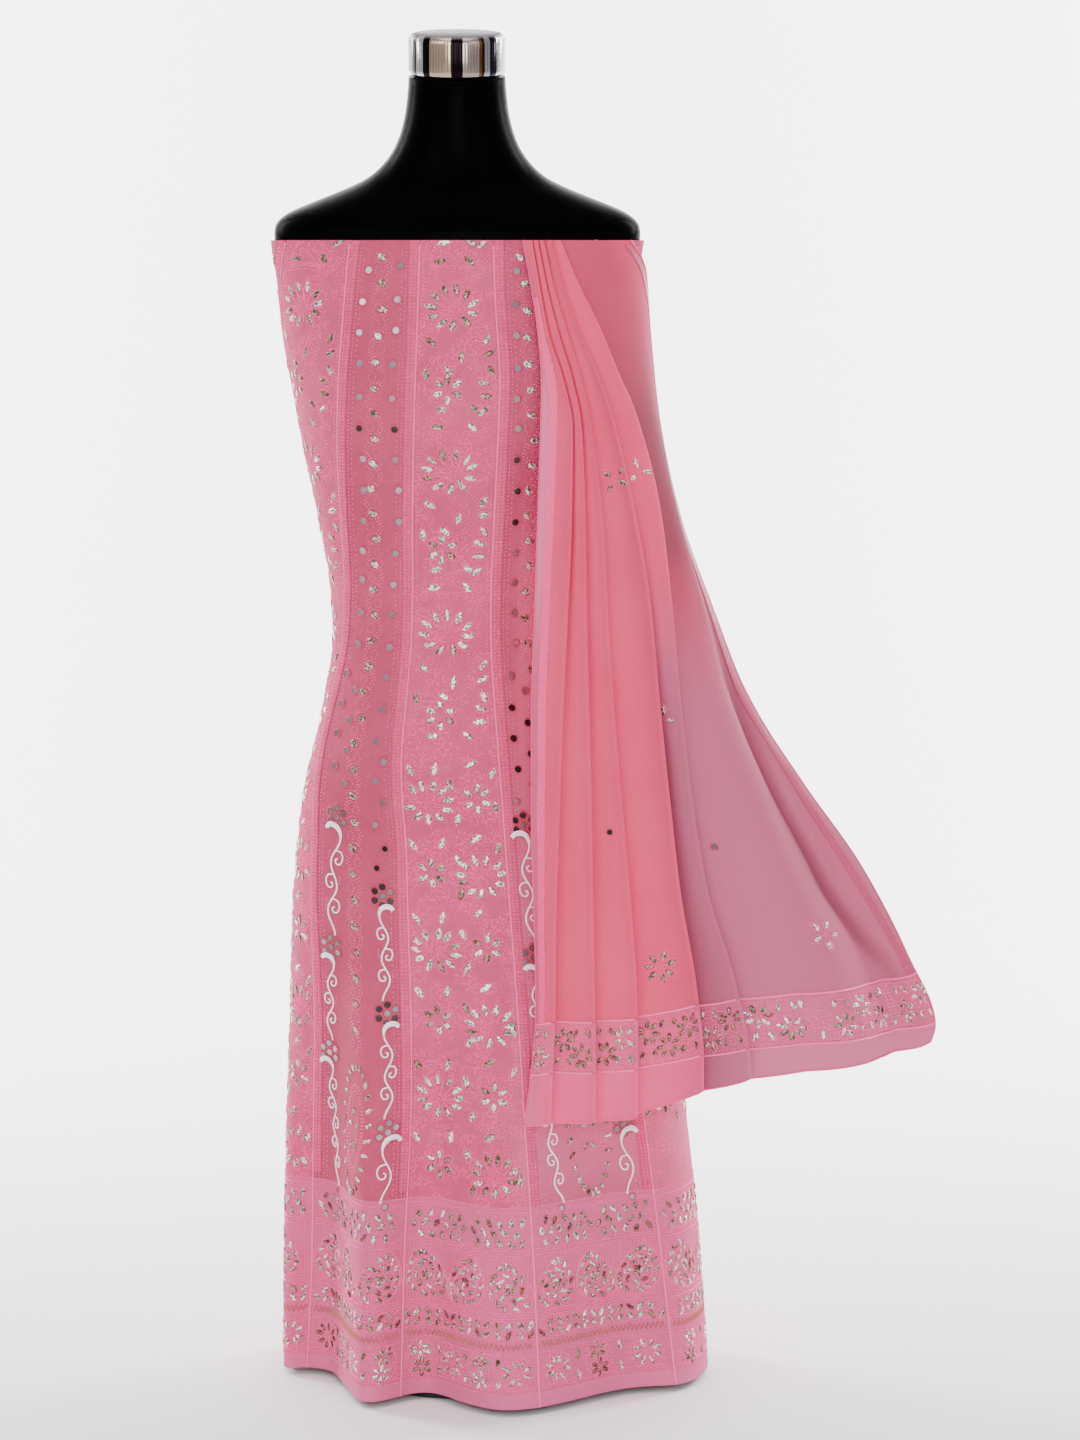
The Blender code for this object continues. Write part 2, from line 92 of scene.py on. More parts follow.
def surface(made, **inputs):
    """Sets sockets of a material's Principled shader, named with underscores for their spaces."""
    feed(made, made.node_tree.nodes["Principled BSDF"],
         {name.replace("_", " ").title().replace("Ior", "IOR"): value for name, value in inputs.items()})


def principled(name, colour, roughness, **inputs):
    """A material with a Principled shader."""
    made = bpy.data.materials.new(name)
    made.use_nodes = True
    surface(made, base_color=colour, roughness=roughness, **inputs)
    return made


def edit(*steps, mode="VERT"):
    """Runs operators on the active mesh in edit mode; each step is an operator and its settings."""
    bpy.ops.object.mode_set(mode="EDIT")
    bpy.context.tool_settings.mesh_select_mode = [mode == kind for kind in ("VERT", "EDGE", "FACE")]
    for operator, settings in steps:
        operator(**settings)
    bpy.context.tool_settings.mesh_select_mode = (True, False, False)
    bpy.ops.object.mode_set(mode="OBJECT")


SELECT_NONE = (bpy.ops.mesh.select_all, {"action": "DESELECT"})
SELECT_ALL = (bpy.ops.mesh.select_all, {"action": "SELECT"})
SWEEP_SIZE = 14.0
SWEEP_DISTANCE = 3.2
SWEEP_HEIGHT = 7.0
bpy.ops.object.select_all(action="DESELECT")
bpy.ops.mesh.primitive_plane_add(size=1, location=(0, SWEEP_DISTANCE - SWEEP_SIZE / 2, 0))
sweep = bpy.context.object
sweep.name = "studio_sweep"
edit((bpy.ops.transform.resize, {"value": (SWEEP_SIZE, SWEEP_SIZE, 1)}), SELECT_NONE)
bpy.ops.object.transform_apply(location=True, rotation=True, scale=True)
for edge in sweep.data.edges:
    edge.select = all(sweep.data.vertices[end].co.y > 0 for end in edge.vertices)
rise = {"value": (0, 0, SWEEP_HEIGHT)}
edit((bpy.ops.mesh.extrude_region_move, {"TRANSFORM_OT_translate": rise}), mode="EDGE")
bend = sweep.modifiers.new("bend", "BEVEL")
bend.width = 1.6
bend.segments = 16
bpy.ops.object.modifier_apply(modifier="bend")
bpy.ops.object.shade_smooth()
paper = principled("studio_paper", (0.95, 0.95, 0.95), 0.9)
one_sided = node(paper, "MixShader", 0, {
    "Fac": node(paper, "NewGeometry", "Backfacing"),
    1: paper.node_tree.nodes["Principled BSDF"].outputs[0],
    2: node(paper, "BsdfTransparent", 0)})
feed(paper, paper.node_tree.nodes["Material Output"], {"Surface": one_sided})
sweep.data.materials.append(paper)

DRESS = (0.05, 0.0, 0.75)
SOFT_BOXES = (
    # name          x     y     z    size power  aimed at
    ("key_left", -2.6, -3.4, 2.9, 2.2, 50.0, DRESS),
    ("key_right", 2.8, -3.2, 2.6, 2.2, 24.0, DRESS),
    ("front", 0.2, -5.4, 1.9, 2.4, 126.0, DRESS),
    ("top", 0.0, -0.8, 4.2, 3.0, 70.0, DRESS),
    ("wall_left", -2.2, 1.5, 1.9, 1.5, 260.0, (-0.6, 3.2, 0.6)),
    ("wall_right", 2.2, 1.5, 1.9, 1.5, 260.0, (0.6, 3.2, 0.6)),
)
for name, x, y, z, size, power, aim in SOFT_BOXES:
    bpy.ops.object.light_add(type="AREA", location=(x, y, z))
    lamp = bpy.context.object
    lamp.name = "soft_box_" + name
    lamp.data.energy = power
    lamp.data.size = size
    lamp.visible_camera = False
    ray = np.array(aim) - np.array([x, y, z])
    lamp.rotation_euler = (math.acos(-ray[2] / np.linalg.norm(ray)), 0, math.atan2(-ray[0], ray[1]))
world = bpy.data.worlds.new("studio_air")
world.use_nodes = True
world.node_tree.nodes["Background"].inputs["Color"].default_value = (1.0, 1.0, 1.0, 1.0)
world.node_tree.nodes["Background"].inputs["Strength"].default_value = 0.62
bpy.context.scene.world = world


# Dress form's bust
# A glossy black shell without arms, a smooth moulding whose surface shows at the shoulders and neck.
# It is the frame's solid with its triangles joined and rounded.
def settle(piece, cad_node=None):
    """Hides the CAD node that a piece stands for, and hangs the piece on the body that carries it."""
    if cad_node:
        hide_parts(cad_node)
    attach(piece, "root")


def noise(made, scale, detail, place=None):
    """A cloudy pattern, on the object's own coordinates where no others are given."""
    if place is None:
        place = node(made, "TexCoord", "Object")
    return node(made, "TexNoise", "Fac", {"Vector": place, "Scale": scale, "Detail": detail})


def mapped(made, value, low=0.0, high=1.0, to=(0.0, 1.0)):
    """A value's stretch from low to high, carried over to another stretch."""
    return node(made, "MapRange", "Result", {
        "Value": value, "From Min": low, "From Max": high, "To Min": to[0], "To Max": to[1]})


def grained(made, scale, detail, *ends):
    """Uneven roughness from a noise, whose output is given back."""
    grain = noise(made, scale, detail)
    surface(made, roughness=mapped(made, grain, to=ends))
    return grain


def raised(made, height, strength, distance, below=None):
    """Turns a height into bump on a material's surface."""
    inputs = {"Height": height, "Strength": strength, "Distance": distance}
    if below is not None:
        inputs["Normal"] = below
    surface(made, normal=node(made, "Bump", "Normal", inputs))


black_gloss = principled("black_gloss", (0.0008, 0.0008, 0.0009), 0.28, ior=1.05)
raised(black_gloss, grained(black_gloss, 35.0, 4.0, 0.22, 0.34), 0.06, 0.002)
bust = bpy.data.objects.new("bust_shell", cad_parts["form_torso"].data.copy())
bpy.context.scene.collection.objects.link(bust)
bpy.ops.object.select_all(action="DESELECT")
bust.select_set(True)
bpy.context.view_layer.objects.active = bust
edit(SELECT_ALL, (bpy.ops.mesh.remove_doubles, {"threshold": 0.00005}),
     (bpy.ops.mesh.tris_convert_to_quads, {}), SELECT_NONE)
bust_top = max(vertex.co.z for vertex in bust.data.vertices)
for vertex in bust.data.vertices:
    vertex.select = vertex.co.z > bust_top - 0.0005
edit((bpy.ops.transform.edge_crease, {"value": 1.0}))
rounding = bust.modifiers.new("rounding", "SUBSURF")
rounding.levels = 2
rounding.render_levels = 2
bpy.ops.object.modifier_apply(modifier="rounding")
bpy.ops.object.shade_smooth_by_angle(angle=math.radians(50))
bust.data.materials.clear()
bust.data.materials.append(black_gloss)
settle(bust, "form_torso")


# Neck cap
# A chromed disc with a rounded shoulder closes the neck; upright bands on its wall are a painted reflection.
cap_low, cap_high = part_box("form_neck_cap")
CAP_ROUND = 0.008
bpy.ops.object.select_all(action="DESELECT")
bpy.ops.mesh.primitive_cylinder_add(vertices=96, radius=cap_high.x, depth=cap_high.z - cap_low.z,
                                    location=(0, 0, (cap_low.z + cap_high.z) / 2))
cap = bpy.context.object
cap.name = "neck_cap_chrome"
bpy.ops.object.transform_apply(location=True, rotation=True, scale=True)
for edge in cap.data.edges:
    edge.select = all(cap.data.vertices[end].co.z > cap_high.z - 0.0005 for end in edge.vertices)
for face in cap.data.polygons:
    face.select = False
edit((bpy.ops.mesh.bevel, {"offset": CAP_ROUND, "segments": 5, "profile": 0.5}), SELECT_NONE, mode="EDGE")
bpy.ops.object.shade_smooth_by_angle(angle=math.radians(35))
# Painted reflection of the studio: light and dark bands by bearing round the cap, from its left over the
# front
PAINTED_REFLECTION_BANDS = (
    # bearing  red   green  blue
    (-90.0, 0.20, 0.19, 0.21),
    (-65.0, 0.012, 0.010, 0.014),
    (-56.0, 0.52, 0.49, 0.53),
    (-44.0, 0.008, 0.006, 0.008),
    (-34.0, 0.47, 0.35, 0.27),
    (-6.5, 0.008, 0.005, 0.006),
    (7.5, 0.34, 0.28, 0.25),
    (28.0, 0.16, 0.06, 0.02),
    (31.0, 0.022, 0.014, 0.012),
    (35.0, 0.36, 0.33, 0.36),
    (43.0, 0.012, 0.007, 0.020),
    (55.0, 0.42, 0.39, 0.46),
)


def counted(made, operation, *values):
    """The result of a sum on values."""
    return node(made, "Math", 0, dict(enumerate(values)), operation=operation)


def mixed(made, share, first, second):
    """A colour between two."""
    return node(made, "Mix", "Result", {"Factor": share, "A": first, "B": second}, data_type="RGBA")


chrome = principled("neck_chrome", (0.75, 0.74, 0.75), 0.16, metallic=1.0, ior=1.02)
place = chrome.node_tree.nodes.new("ShaderNodeSeparateXYZ")
feed(chrome, place, {0: node(chrome, "TexCoord", "Object")})
ahead = counted(chrome, "MULTIPLY", place.outputs["Y"], -1.0)
turned = mapped(chrome, counted(chrome, "ARCTAN2", place.outputs["X"], ahead), -math.pi / 2, math.pi / 2)
painted_reflection = ramp(chrome, turned, [((row[0] + 90) / 180, *row[1:]) for row in PAINTED_REFLECTION_BANDS], "CONSTANT")
on_top = mapped(chrome, place.outputs["Z"], cap_high.z - CAP_ROUND * 0.4, cap_high.z - 0.0005)
surface(chrome, base_color=mixed(chrome, on_top, painted_reflection["Color"], (0.165, 0.140, 0.168)),
        metallic=counted(chrome, "SUBTRACT", 1.0, on_top))
cap.data.materials.append(chrome)
settle(cap, "form_neck_cap")


# Pole and base
# A satin black steel tube and a flat round foot carry the form under the skirt, turned and painted.
dark_steel = principled("pole_black_steel", (0.02, 0.02, 0.022), 0.35, metallic=0.6)
grained(dark_steel, 60.0, 6.0, 0.26, 0.48)
for node_name in ("form_pole", "form_base"):
    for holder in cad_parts[node_name].material_slots:
        holder.material = dark_steel


# Kurta's drape
# Ten flared kalis of crepe georgette are seamed into a tube that narrows at the waist and opens in soft
# folds to the hem. The tables give its sections, seams and folds, as the tube hangs on the form.
RIM_HEIGHT = 1.222
RIM_SLOPE = 0.12
RIM_SLOPE_REACH = 0.12
HEM_HEIGHT = 0.008
KURTA_SECTIONS = (
    # height left   right  front  back
    (1.222, 0.195, 0.195, 0.090, 0.085),
    (1.160, 0.186, 0.186, 0.108, 0.094),
    (1.100, 0.179, 0.179, 0.124, 0.097),
    (1.030, 0.167, 0.167, 0.114, 0.092),
    (0.940, 0.149, 0.149, 0.098, 0.080),
    (0.860, 0.135, 0.135, 0.090, 0.071),
    (0.810, 0.132, 0.132, 0.091, 0.072),
    (0.750, 0.139, 0.140, 0.098, 0.084),
    (0.690, 0.152, 0.155, 0.107, 0.102),
    (0.630, 0.165, 0.172, 0.113, 0.114),
    (0.520, 0.176, 0.200, 0.122, 0.122),
    (0.400, 0.180, 0.226, 0.134, 0.131),
    (0.200, 0.187, 0.252, 0.151, 0.147),
    (0.008, 0.190, 0.267, 0.165, 0.160),
)
KURTA_SEAMS = (
    # height in_l  in_r  out_l  out_r side   rear   back
    (1.222, 11.0, 11.2, 34.0, 34.0, 65.0, 120.0, 160.0),
    (1.180, 11.8, 12.0, 37.0, 37.0, 76.0, 122.0, 160.0),
    (1.080, 14.0, 14.8, 44.0, 44.0, 93.0, 128.0, 161.0),
    (0.856, 20.2, 15.2, 61.8, 60.0, 108.0, 138.0, 163.0),
    (0.710, 22.9, 16.3, 71.7, 66.0, 108.0, 137.0, 163.0),
    (0.585, 18.1, 16.2, 64.3, 60.0, 105.0, 135.0, 163.0),
    (0.350, 15.6, 16.8, 57.0, 54.4, 102.0, 134.0, 163.0),
    (0.160, 17.7, 18.1, 56.5, 56.7, 101.0, 134.0, 163.0),
    (0.008, 18.9, 18.8, 59.5, 60.0, 101.0, 134.0, 163.0),
)
KURTA_FOLDS = (
    # turn   push    start
    (-112.0, 0.010, 0.50),
    (-90.0, 0.000, 0.56),
    (-47.0, -0.082, 0.58),
    (-32.0, 0.006, 0.52),
    (-10.0, -0.050, 0.62),
    (12.0, 0.016, 0.62),
    (41.0, -0.026, 0.56),
    (68.0, 0.007, 0.50),
    (90.0, 0.000, 0.50),
    (112.0, -0.022, 0.55),
    (131.0, 0.012, 0.55),
    (150.0, -0.030, 0.60),
    (170.0, 0.014, 0.60),
    (191.0, -0.028, 0.60),
    (210.0, 0.012, 0.58),
    (229.0, -0.026, 0.55),
)
# Creases of the thin cloth: a trough or ridge along a slanting line, with its reach up and down
KURTA_CREASES = (
    # turn   height  reach  slant   depth    breadth
    (-96.0, 1.050, 0.110, 40.0, -0.0012, 5.0),
    (-58.0, 0.930, 0.120, 25.0, -0.0014, 5.0),
    (-30.0, 0.800, 0.100, -30.0, 0.0012, 4.5),
    (-2.0, 0.760, 0.140, 10.0, -0.0010, 4.0),
    (30.0, 0.820, 0.120, 35.0, -0.0012, 5.0),
    (-70.0, 0.700, 0.120, -45.0, 0.0016, 6.0),
    (-46.0, 0.500, 0.200, 12.0, -0.0028, 6.0),
    (-24.0, 0.330, 0.200, -14.0, 0.0022, 6.0),
    (2.0, 0.280, 0.180, 10.0, -0.0022, 5.0),
    (22.0, 0.380, 0.220, 8.0, 0.0020, 6.0),
    (50.0, 0.300, 0.200, -10.0, -0.0026, 6.0),
    (80.0, 0.420, 0.220, 18.0, 0.0024, 7.0),
    (104.0, 0.780, 0.160, 30.0, -0.0016, 6.0),
    (124.0, 0.600, 0.180, -22.0, 0.0018, 6.0),
    (140.0, 0.350, 0.240, 12.0, -0.0026, 7.0),
    (164.0, 0.880, 0.140, -25.0, 0.0012, 6.0),
    (180.0, 0.480, 0.200, 15.0, 0.0022, 6.0),
    (198.0, 0.740, 0.160, 28.0, -0.0014, 6.0),
    (216.0, 0.420, 0.220, -16.0, -0.0024, 7.0),
    (238.0, 0.640, 0.180, 20.0, 0.0016, 6.0),
)
# The kalis from the back's left seam round the front, and what is worked on each
KALIS = (
    ("back_left", "vine"), ("rear_left", "mirror"), ("side_left", "vine"), ("front_left", "mirror"),
    ("front_centre", "vine"), ("front_right", "mirror"), ("side_right", "vine"), ("rear_right", "mirror"),
    ("back_right", "vine"), ("back_centre", "mirror"))
ROW_STEP = 0.0085
COLUMN_STEP = 0.0075
CLOTH_THICKNESS = 0.0010


def smooth_table(rows, values):
    """The columns of a table after its first at many values, on smooth curves with no overshoot."""
    table = np.array(sorted(rows), dtype=float)
    keys, columns = table[:, 0], table[:, 1:]
    values = np.clip(np.asarray(values, dtype=float), keys[0], keys[-1])
    low = np.clip(np.searchsorted(keys, values, side="right") - 1, 0, len(keys) - 2)
    rises = np.diff(columns, axis=0) / np.diff(keys)[:, None]
    before, after = rises[:-1], rises[1:]
    turning = before * after <= 0
    inner = np.where(turning, 0.0, 2 * before * after / np.where(turning, 1.0, before + after))
    slopes = np.vstack([rises[:1], inner, rises[-1:]])
    step = (keys[low + 1] - keys[low])[..., None]
    s = (values[..., None] - keys[low][..., None]) / step
    return ((2 * s ** 3 - 3 * s ** 2 + 1) * columns[low] + (s ** 3 - 2 * s ** 2 + s) * step * slopes[low]
            + (3 * s ** 2 - 2 * s ** 3) * columns[low + 1] + (s ** 3 - s ** 2) * step * slopes[low + 1])


def ease(values):
    """0 to 1 along a smooth step."""
    values = np.clip(values, 0.0, 1.0)
    return values * values * (3 - 2 * values)


def fold_push(turns, heights):
    """How far the skirt's folds carry the cloth to the front or back."""
    table = np.array(KURTA_FOLDS + ((KURTA_FOLDS[0][0] + 360.0, *KURTA_FOLDS[0][1:]),))
    turns = table[0, 0] + (turns - table[0, 0]) % 360.0
    low = np.clip(np.searchsorted(table[:, 0], turns, side="right") - 1, 0, len(table) - 2)
    ends = [table[at, 1] * ease((table[at, 2] - heights) / (table[at, 2] - HEM_HEIGHT))
            for at in (low, low + 1)]
    share = (turns - table[low, 0]) / (table[low + 1, 0] - table[low, 0])
    return ends[0] + (ends[1] - ends[0]) * 0.5 * (1 - np.cos(np.pi * share))


def kurta_oval(turns, heights):
    """x and y of the tube at turns in degrees round it and heights above the floor."""
    left, right, front, back = np.moveaxis(smooth_table(KURTA_SECTIONS, heights), -1, 0)
    sine, cosine = np.sin(np.radians(turns)), np.cos(np.radians(turns))
    x = np.where(sine > 0, right, left) * sine
    y = -np.where(cosine > 0, front, back) * cosine
    return x, y - np.where(cosine > 0, 1.0, -1.0) * fold_push(turns, heights)


def crease(turns, heights):
    """How far the creases lift the cloth off its even form."""
    lift = np.zeros(np.broadcast(turns, heights).shape)
    for turn, height, reach, slant, depth, breadth in KURTA_CREASES:
        along = (heights - height) / reach
        across = (turns - turn - slant * along * reach + 180.0) % 360.0 - 180.0
        lift += depth * np.exp(-(across / breadth) ** 2) * ease(1 - np.abs(along))
    return lift


def kurta_points(turns, heights):
    """Points of the kurta's outer surface; near the rim its rings slope up to the front."""
    slope = RIM_SLOPE * ease((heights - RIM_HEIGHT + RIM_SLOPE_REACH) / RIM_SLOPE_REACH)
    z = heights - slope * kurta_oval(turns, heights)[1]
    x, y = kurta_oval(turns, z)
    ahead_x, ahead_y = kurta_oval(turns + 0.5, z)
    out = np.stack([ahead_y - y, -(ahead_x - x)], axis=-1)
    out /= np.linalg.norm(out, axis=-1, keepdims=True)
    lift = crease(turns, heights)
    return np.stack([x + out[..., 0] * lift, y + out[..., 1] * lift, z], axis=-1)


def run_along(path):
    """The distance along a path at each of its points."""
    return np.concatenate([[0.0], np.cumsum(np.linalg.norm(np.diff(path, axis=0), axis=1))])


class Chart:
    """A sheet's outer surface, on which things are laid by metres across it and metres up from its hem."""

    def __init__(self, points):
        self.points = points
        self.ups = run_along(points[:, points.shape[1] // 2])
        self.widths = np.array([run_along(row)[-1] for row in points])
        normals = np.cross(np.gradient(points, axis=1), np.gradient(points, axis=0))
        self.normals = normals / np.linalg.norm(normals, axis=2, keepdims=True)

    def half(self, v):
        """Half of the sheet's width at a distance above its hem."""
        return np.interp(v, self.ups, self.widths) / 2

    def at(self, u, v):
        """Points and outward directions at u metres right of the middle and v metres above the hem."""
        rows, columns = self.points.shape[:2]
        row = np.interp(v, self.ups, np.arange(rows))
        column = np.clip((u / np.interp(v, self.ups, self.widths) + 0.5) * (columns - 1), 0, columns - 1)
        r = np.clip(row.astype(int), 0, rows - 2)
        c = np.clip(column.astype(int), 0, columns - 2)
        a = (row - r)[..., None]
        b = (column - c)[..., None]
        found = []
        for grid in (self.points, self.normals):
            low = grid[r, c] * (1 - b) + grid[r, c + 1] * b
            high = grid[r + 1, c] * (1 - b) + grid[r + 1, c + 1] * b
            found.append(low * (1 - a) + high * a)
        return found[0], found[1] / np.linalg.norm(found[1], axis=-1, keepdims=True)

    def over(self, u, v, lift):
        """The chart of a strip that lies above this one."""
        points, normals = self.at(u, np.repeat(v[:, None], u.shape[1], axis=1))
        return Chart(points + normals * lift)

    def cut(self):
        return {"flat": (float(self.widths.max()), float(self.ups[-1])),
                "area": float(np.trapz(self.widths, self.ups))}


def hang_sheet(name, chart, thickness, cloth, offset=-1.0, **marks):
    """A sheet of cloth: a flat grid hung on a chart's points, with a UV map in metres and a thin wall."""
    rows, columns = chart.points.shape[:2]
    bpy.ops.object.select_all(action="DESELECT")
    bpy.ops.mesh.primitive_grid_add(x_subdivisions=columns - 1, y_subdivisions=rows - 1, size=1)
    sheet = bpy.context.object
    sheet.name = name
    sheet.data.vertices.foreach_set("co", chart.points.reshape(-1).astype(np.float32))
    u = chart.widths[:, None] * np.linspace(-0.5, 0.5, columns)[None, :]
    v = np.repeat(chart.ups[:, None], columns, axis=1)
    corners = np.empty(len(sheet.data.loops), dtype=np.int32)
    sheet.data.loops.foreach_get("vertex_index", corners)
    flat = np.stack([u.reshape(-1), v.reshape(-1)], axis=-1)[corners]
    sheet.data.uv_layers.active.data.foreach_set("uv", flat.reshape(-1).astype(np.float32))
    for mark, values in marks.items():
        store = sheet.data.attributes.new(mark, "FLOAT", "POINT")
        store.data.foreach_set("value", values.reshape(-1).astype(np.float32))
    wall = sheet.modifiers.new("wall", "SOLIDIFY")
    wall.thickness = thickness
    wall.offset = offset
    bpy.ops.object.modifier_apply(modifier="wall")
    bpy.ops.object.shade_smooth_by_angle(angle=math.radians(60))
    sheet.data.materials.append(cloth)
    return sheet


row_heights = np.linspace(HEM_HEIGHT, RIM_HEIGHT, int((RIM_HEIGHT - HEM_HEIGHT) / ROW_STEP) + 1)
in_l, in_r, out_l, out_r, side, rear, back = smooth_table(KURTA_SEAMS, row_heights).T
row_seams = (-back, -rear, -side, -out_l, -in_l, in_r, out_r, side, rear, back, 360.0 - back)
charts = {}
for (name, finish), start, end in zip(KALIS, row_seams, row_seams[1:]):
    turns = np.linspace(start, end, 97, axis=1)
    fine = kurta_points(turns, np.repeat(row_heights[:, None], 97, axis=1))
    columns = int(run_along(fine[0])[-1] / COLUMN_STEP) + 2
    even = []
    for path, row_turns in zip(fine, turns):
        run = run_along(path)
        even.append(np.interp(np.linspace(0.0001, run[-1] - 0.0001, columns), run, row_turns))
    charts[name] = Chart(kurta_points(np.array(even), np.repeat(row_heights[:, None], columns, axis=1)))


# Kurta's georgette
# Sheer crepe georgette in pink, with a fine pebbled weave, a soft sheen and slightly uneven dye. The vine
# kalis and the mirror kalis are cut from two dye lots a shade apart.
def scaled(made, colour, share):
    """A colour made lighter or darker."""
    return node(made, "VectorMath", "Vector", {0: colour, "Scale": share}, operation="SCALE")


def georgette(name, colour, second, tones=()):
    """Crepe georgette of two close colours, its weave and pebbles read from the cloth's own UV map."""
    made = principled(name, colour, 0.78, sheen_weight=0.04, sheen_roughness=0.4, specular_ior_level=0.15,
                      sheen_tint=(1.0, 0.72, 0.78))
    cloth_map = node(made, "UVMap", "UV")
    pebbles = noise(made, 650.0, 2.0, cloth_map)
    thread = {"Vector": cloth_map, "Scale": 360.0, "Distortion": 1.2, "Detail": 1.0}
    warp, weft = [node(made, "TexWave", "Fac", thread, bands_direction=way) for way in "XY"]
    weave = counted(made, "MULTIPLY_ADD", warp, weft)
    raised(made, counted(made, "MULTIPLY_ADD", pebbles, 0.8, weave), 0.28, 0.0004)
    dye = mapped(made, noise(made, 9.0, 5.0, cloth_map), 0.35, 0.65)
    shown = scaled(made, mixed(made, dye, colour, second), mapped(made, pebbles, to=(0.90, 1.08)))
    for mark, tone in tones:
        shown = mixed(made, node(made, "Attribute", "Fac", attribute_name=mark), shown, tone)
    surface(made, base_color=shown)
    return made


def fill_ground(made, colour, layers, period=0.0038, wander=12.0, plain=None):
    """Threads over a cloth: each layer is (metres up, wavy rows, scattered, upright, cloth's own tone)."""
    shader = made.node_tree.nodes["Principled BSDF"]
    cloth_map = node(made, "UVMap", "UV")
    height = mapped(made, node(made, "SeparateXYZ", "Y", {0: cloth_map}), 0.0, 0.25)
    where = ramp(made, height, [(at / 0.25, *strengths) for at, *strengths in layers], "CONSTANT")
    kinds = made.node_tree.nodes.new("ShaderNodeSeparateColor")
    feed(made, kinds, {0: where["Color"]})

    def crest(kind, low, high, share, inputs, **settings):
        """A texture's part above a height, times a share."""
        texture = node(made, kind, "Fac", {"Vector": cloth_map, **inputs}, **settings)
        return counted(made, "MULTIPLY", mapped(made, texture, low, high), share)

    patches = crest("TexNoise", 0.42, 0.56, kinds.outputs[1], {"Scale": 38.0, "Detail": 1.0})
    rows = crest("TexWave", 0.40, 0.80, kinds.outputs[0],
                 {"Scale": 0.314 / period, "Distortion": wander, "Detail": 1.5}, bands_direction="Y")
    scattered = crest("TexNoise", 0.47, 0.60, patches, {"Scale": 340.0, "Detail": 2.0})
    upright = crest("TexWave", 0.40, 0.80, kinds.outputs[2],
                    {"Scale": 92.0, "Distortion": 0.5}, bands_direction="X")
    share = counted(made, "ADD", counted(made, "ADD", rows, scattered), upright)
    shown = mixed(made, share, shader.inputs["Base Color"].links[0].from_socket, colour)
    if plain is not None:
        shown = mixed(made, where["Alpha"], plain, shown)
    surface(made, base_color=shown)
    raised(made, share, 0.6, 0.0006, shader.inputs["Normal"].links[0].from_socket)
    return made


FILLING = (0.98, 0.080, 0.270)
HEM_TONE = (0.650, 0.111, 0.256)
BORDER_LAYERS = ((0.0, 0.0, 0.0, 0.0, 0.0), (0.015, 0.42, 0.30, 0.0, 0.40), (0.100, 0.0, 0.15, 0.60, 0.40),
                 (0.160, 0.42, 0.30, 0.0, 0.40))
BORDER_TOP = 0.214
# Painted light: the kalis are painted lighter on the front right, where the stole's shadow falls
PAINTED_LIGHT = (("lit", (0.600, 0.105, 0.215)),)
kali_cloth = {
    finish: fill_ground(georgette(finish + "_georgette", colour, second, PAINTED_LIGHT), FILLING,
                        BORDER_LAYERS + ((BORDER_TOP, 0.0, scattered, 0.0, 1.0),), plain=HEM_TONE)
    for finish, colour, second, scattered in (
        ("vine", (0.540, 0.057, 0.146), (0.600, 0.072, 0.174), 0.70),
        ("mirror", (0.445, 0.046, 0.110), (0.495, 0.058, 0.130), 0.12))}
for name, finish in KALIS:
    chart = charts[name]
    x, y, z = np.moveaxis(chart.points, -1, 0)
    # Painted light: how much lighter each point is painted, from low on the skirt up to the chest
    lit = ease((x - 0.045) / 0.03) * ease((z - 0.16) / 0.12) * ease((1.0 - z) / 0.15) * (y < 0)
    sheet = hang_sheet("kali_%s_cloth" % name, chart, CLOTH_THICKNESS, kali_cloth[finish], lit=lit)
    chart.cut()
    settle(sheet, "kali_" + name)


# Seams
# The kalis' joined edges are turned to the outside and bound in a thin pale piping, sewn through both.
# Beside each seam the mirror kalis keep a smooth folded facing, which lies flat on them.
def track(u, v):
    """A path on a chart from its places across and up."""
    return np.stack(np.broadcast_arrays(u, v), axis=1).astype(float)


def join_up(name, points, triangles, finish, tones=None, smooth=50):
    """One mesh object from arrays of points and triangles, with a tone stored at each point."""
    mesh = bpy.data.meshes.new(name)
    mesh.vertices.add(len(points))
    mesh.vertices.foreach_set("co", points.reshape(-1).astype(np.float32))
    mesh.loops.add(3 * len(triangles))
    mesh.loops.foreach_set("vertex_index", triangles.reshape(-1).astype(np.int32))
    mesh.polygons.add(len(triangles))
    mesh.polygons.foreach_set("loop_start", np.arange(0, 3 * len(triangles), 3, dtype=np.int32))
    mesh.update(calc_edges=True)
    if tones is not None:
        mesh.attributes.new("tone", "FLOAT", "POINT").data.foreach_set("value", tones.astype(np.float32))
    mesh.materials.append(finish)
    made = bpy.data.objects.new(name, mesh)
    bpy.context.scene.collection.objects.link(made)
    bpy.ops.object.select_all(action="DESELECT")
    made.select_set(True)
    bpy.context.view_layer.objects.active = made
    bpy.ops.object.shade_smooth_by_angle(angle=math.radians(smooth))
    settle(made)


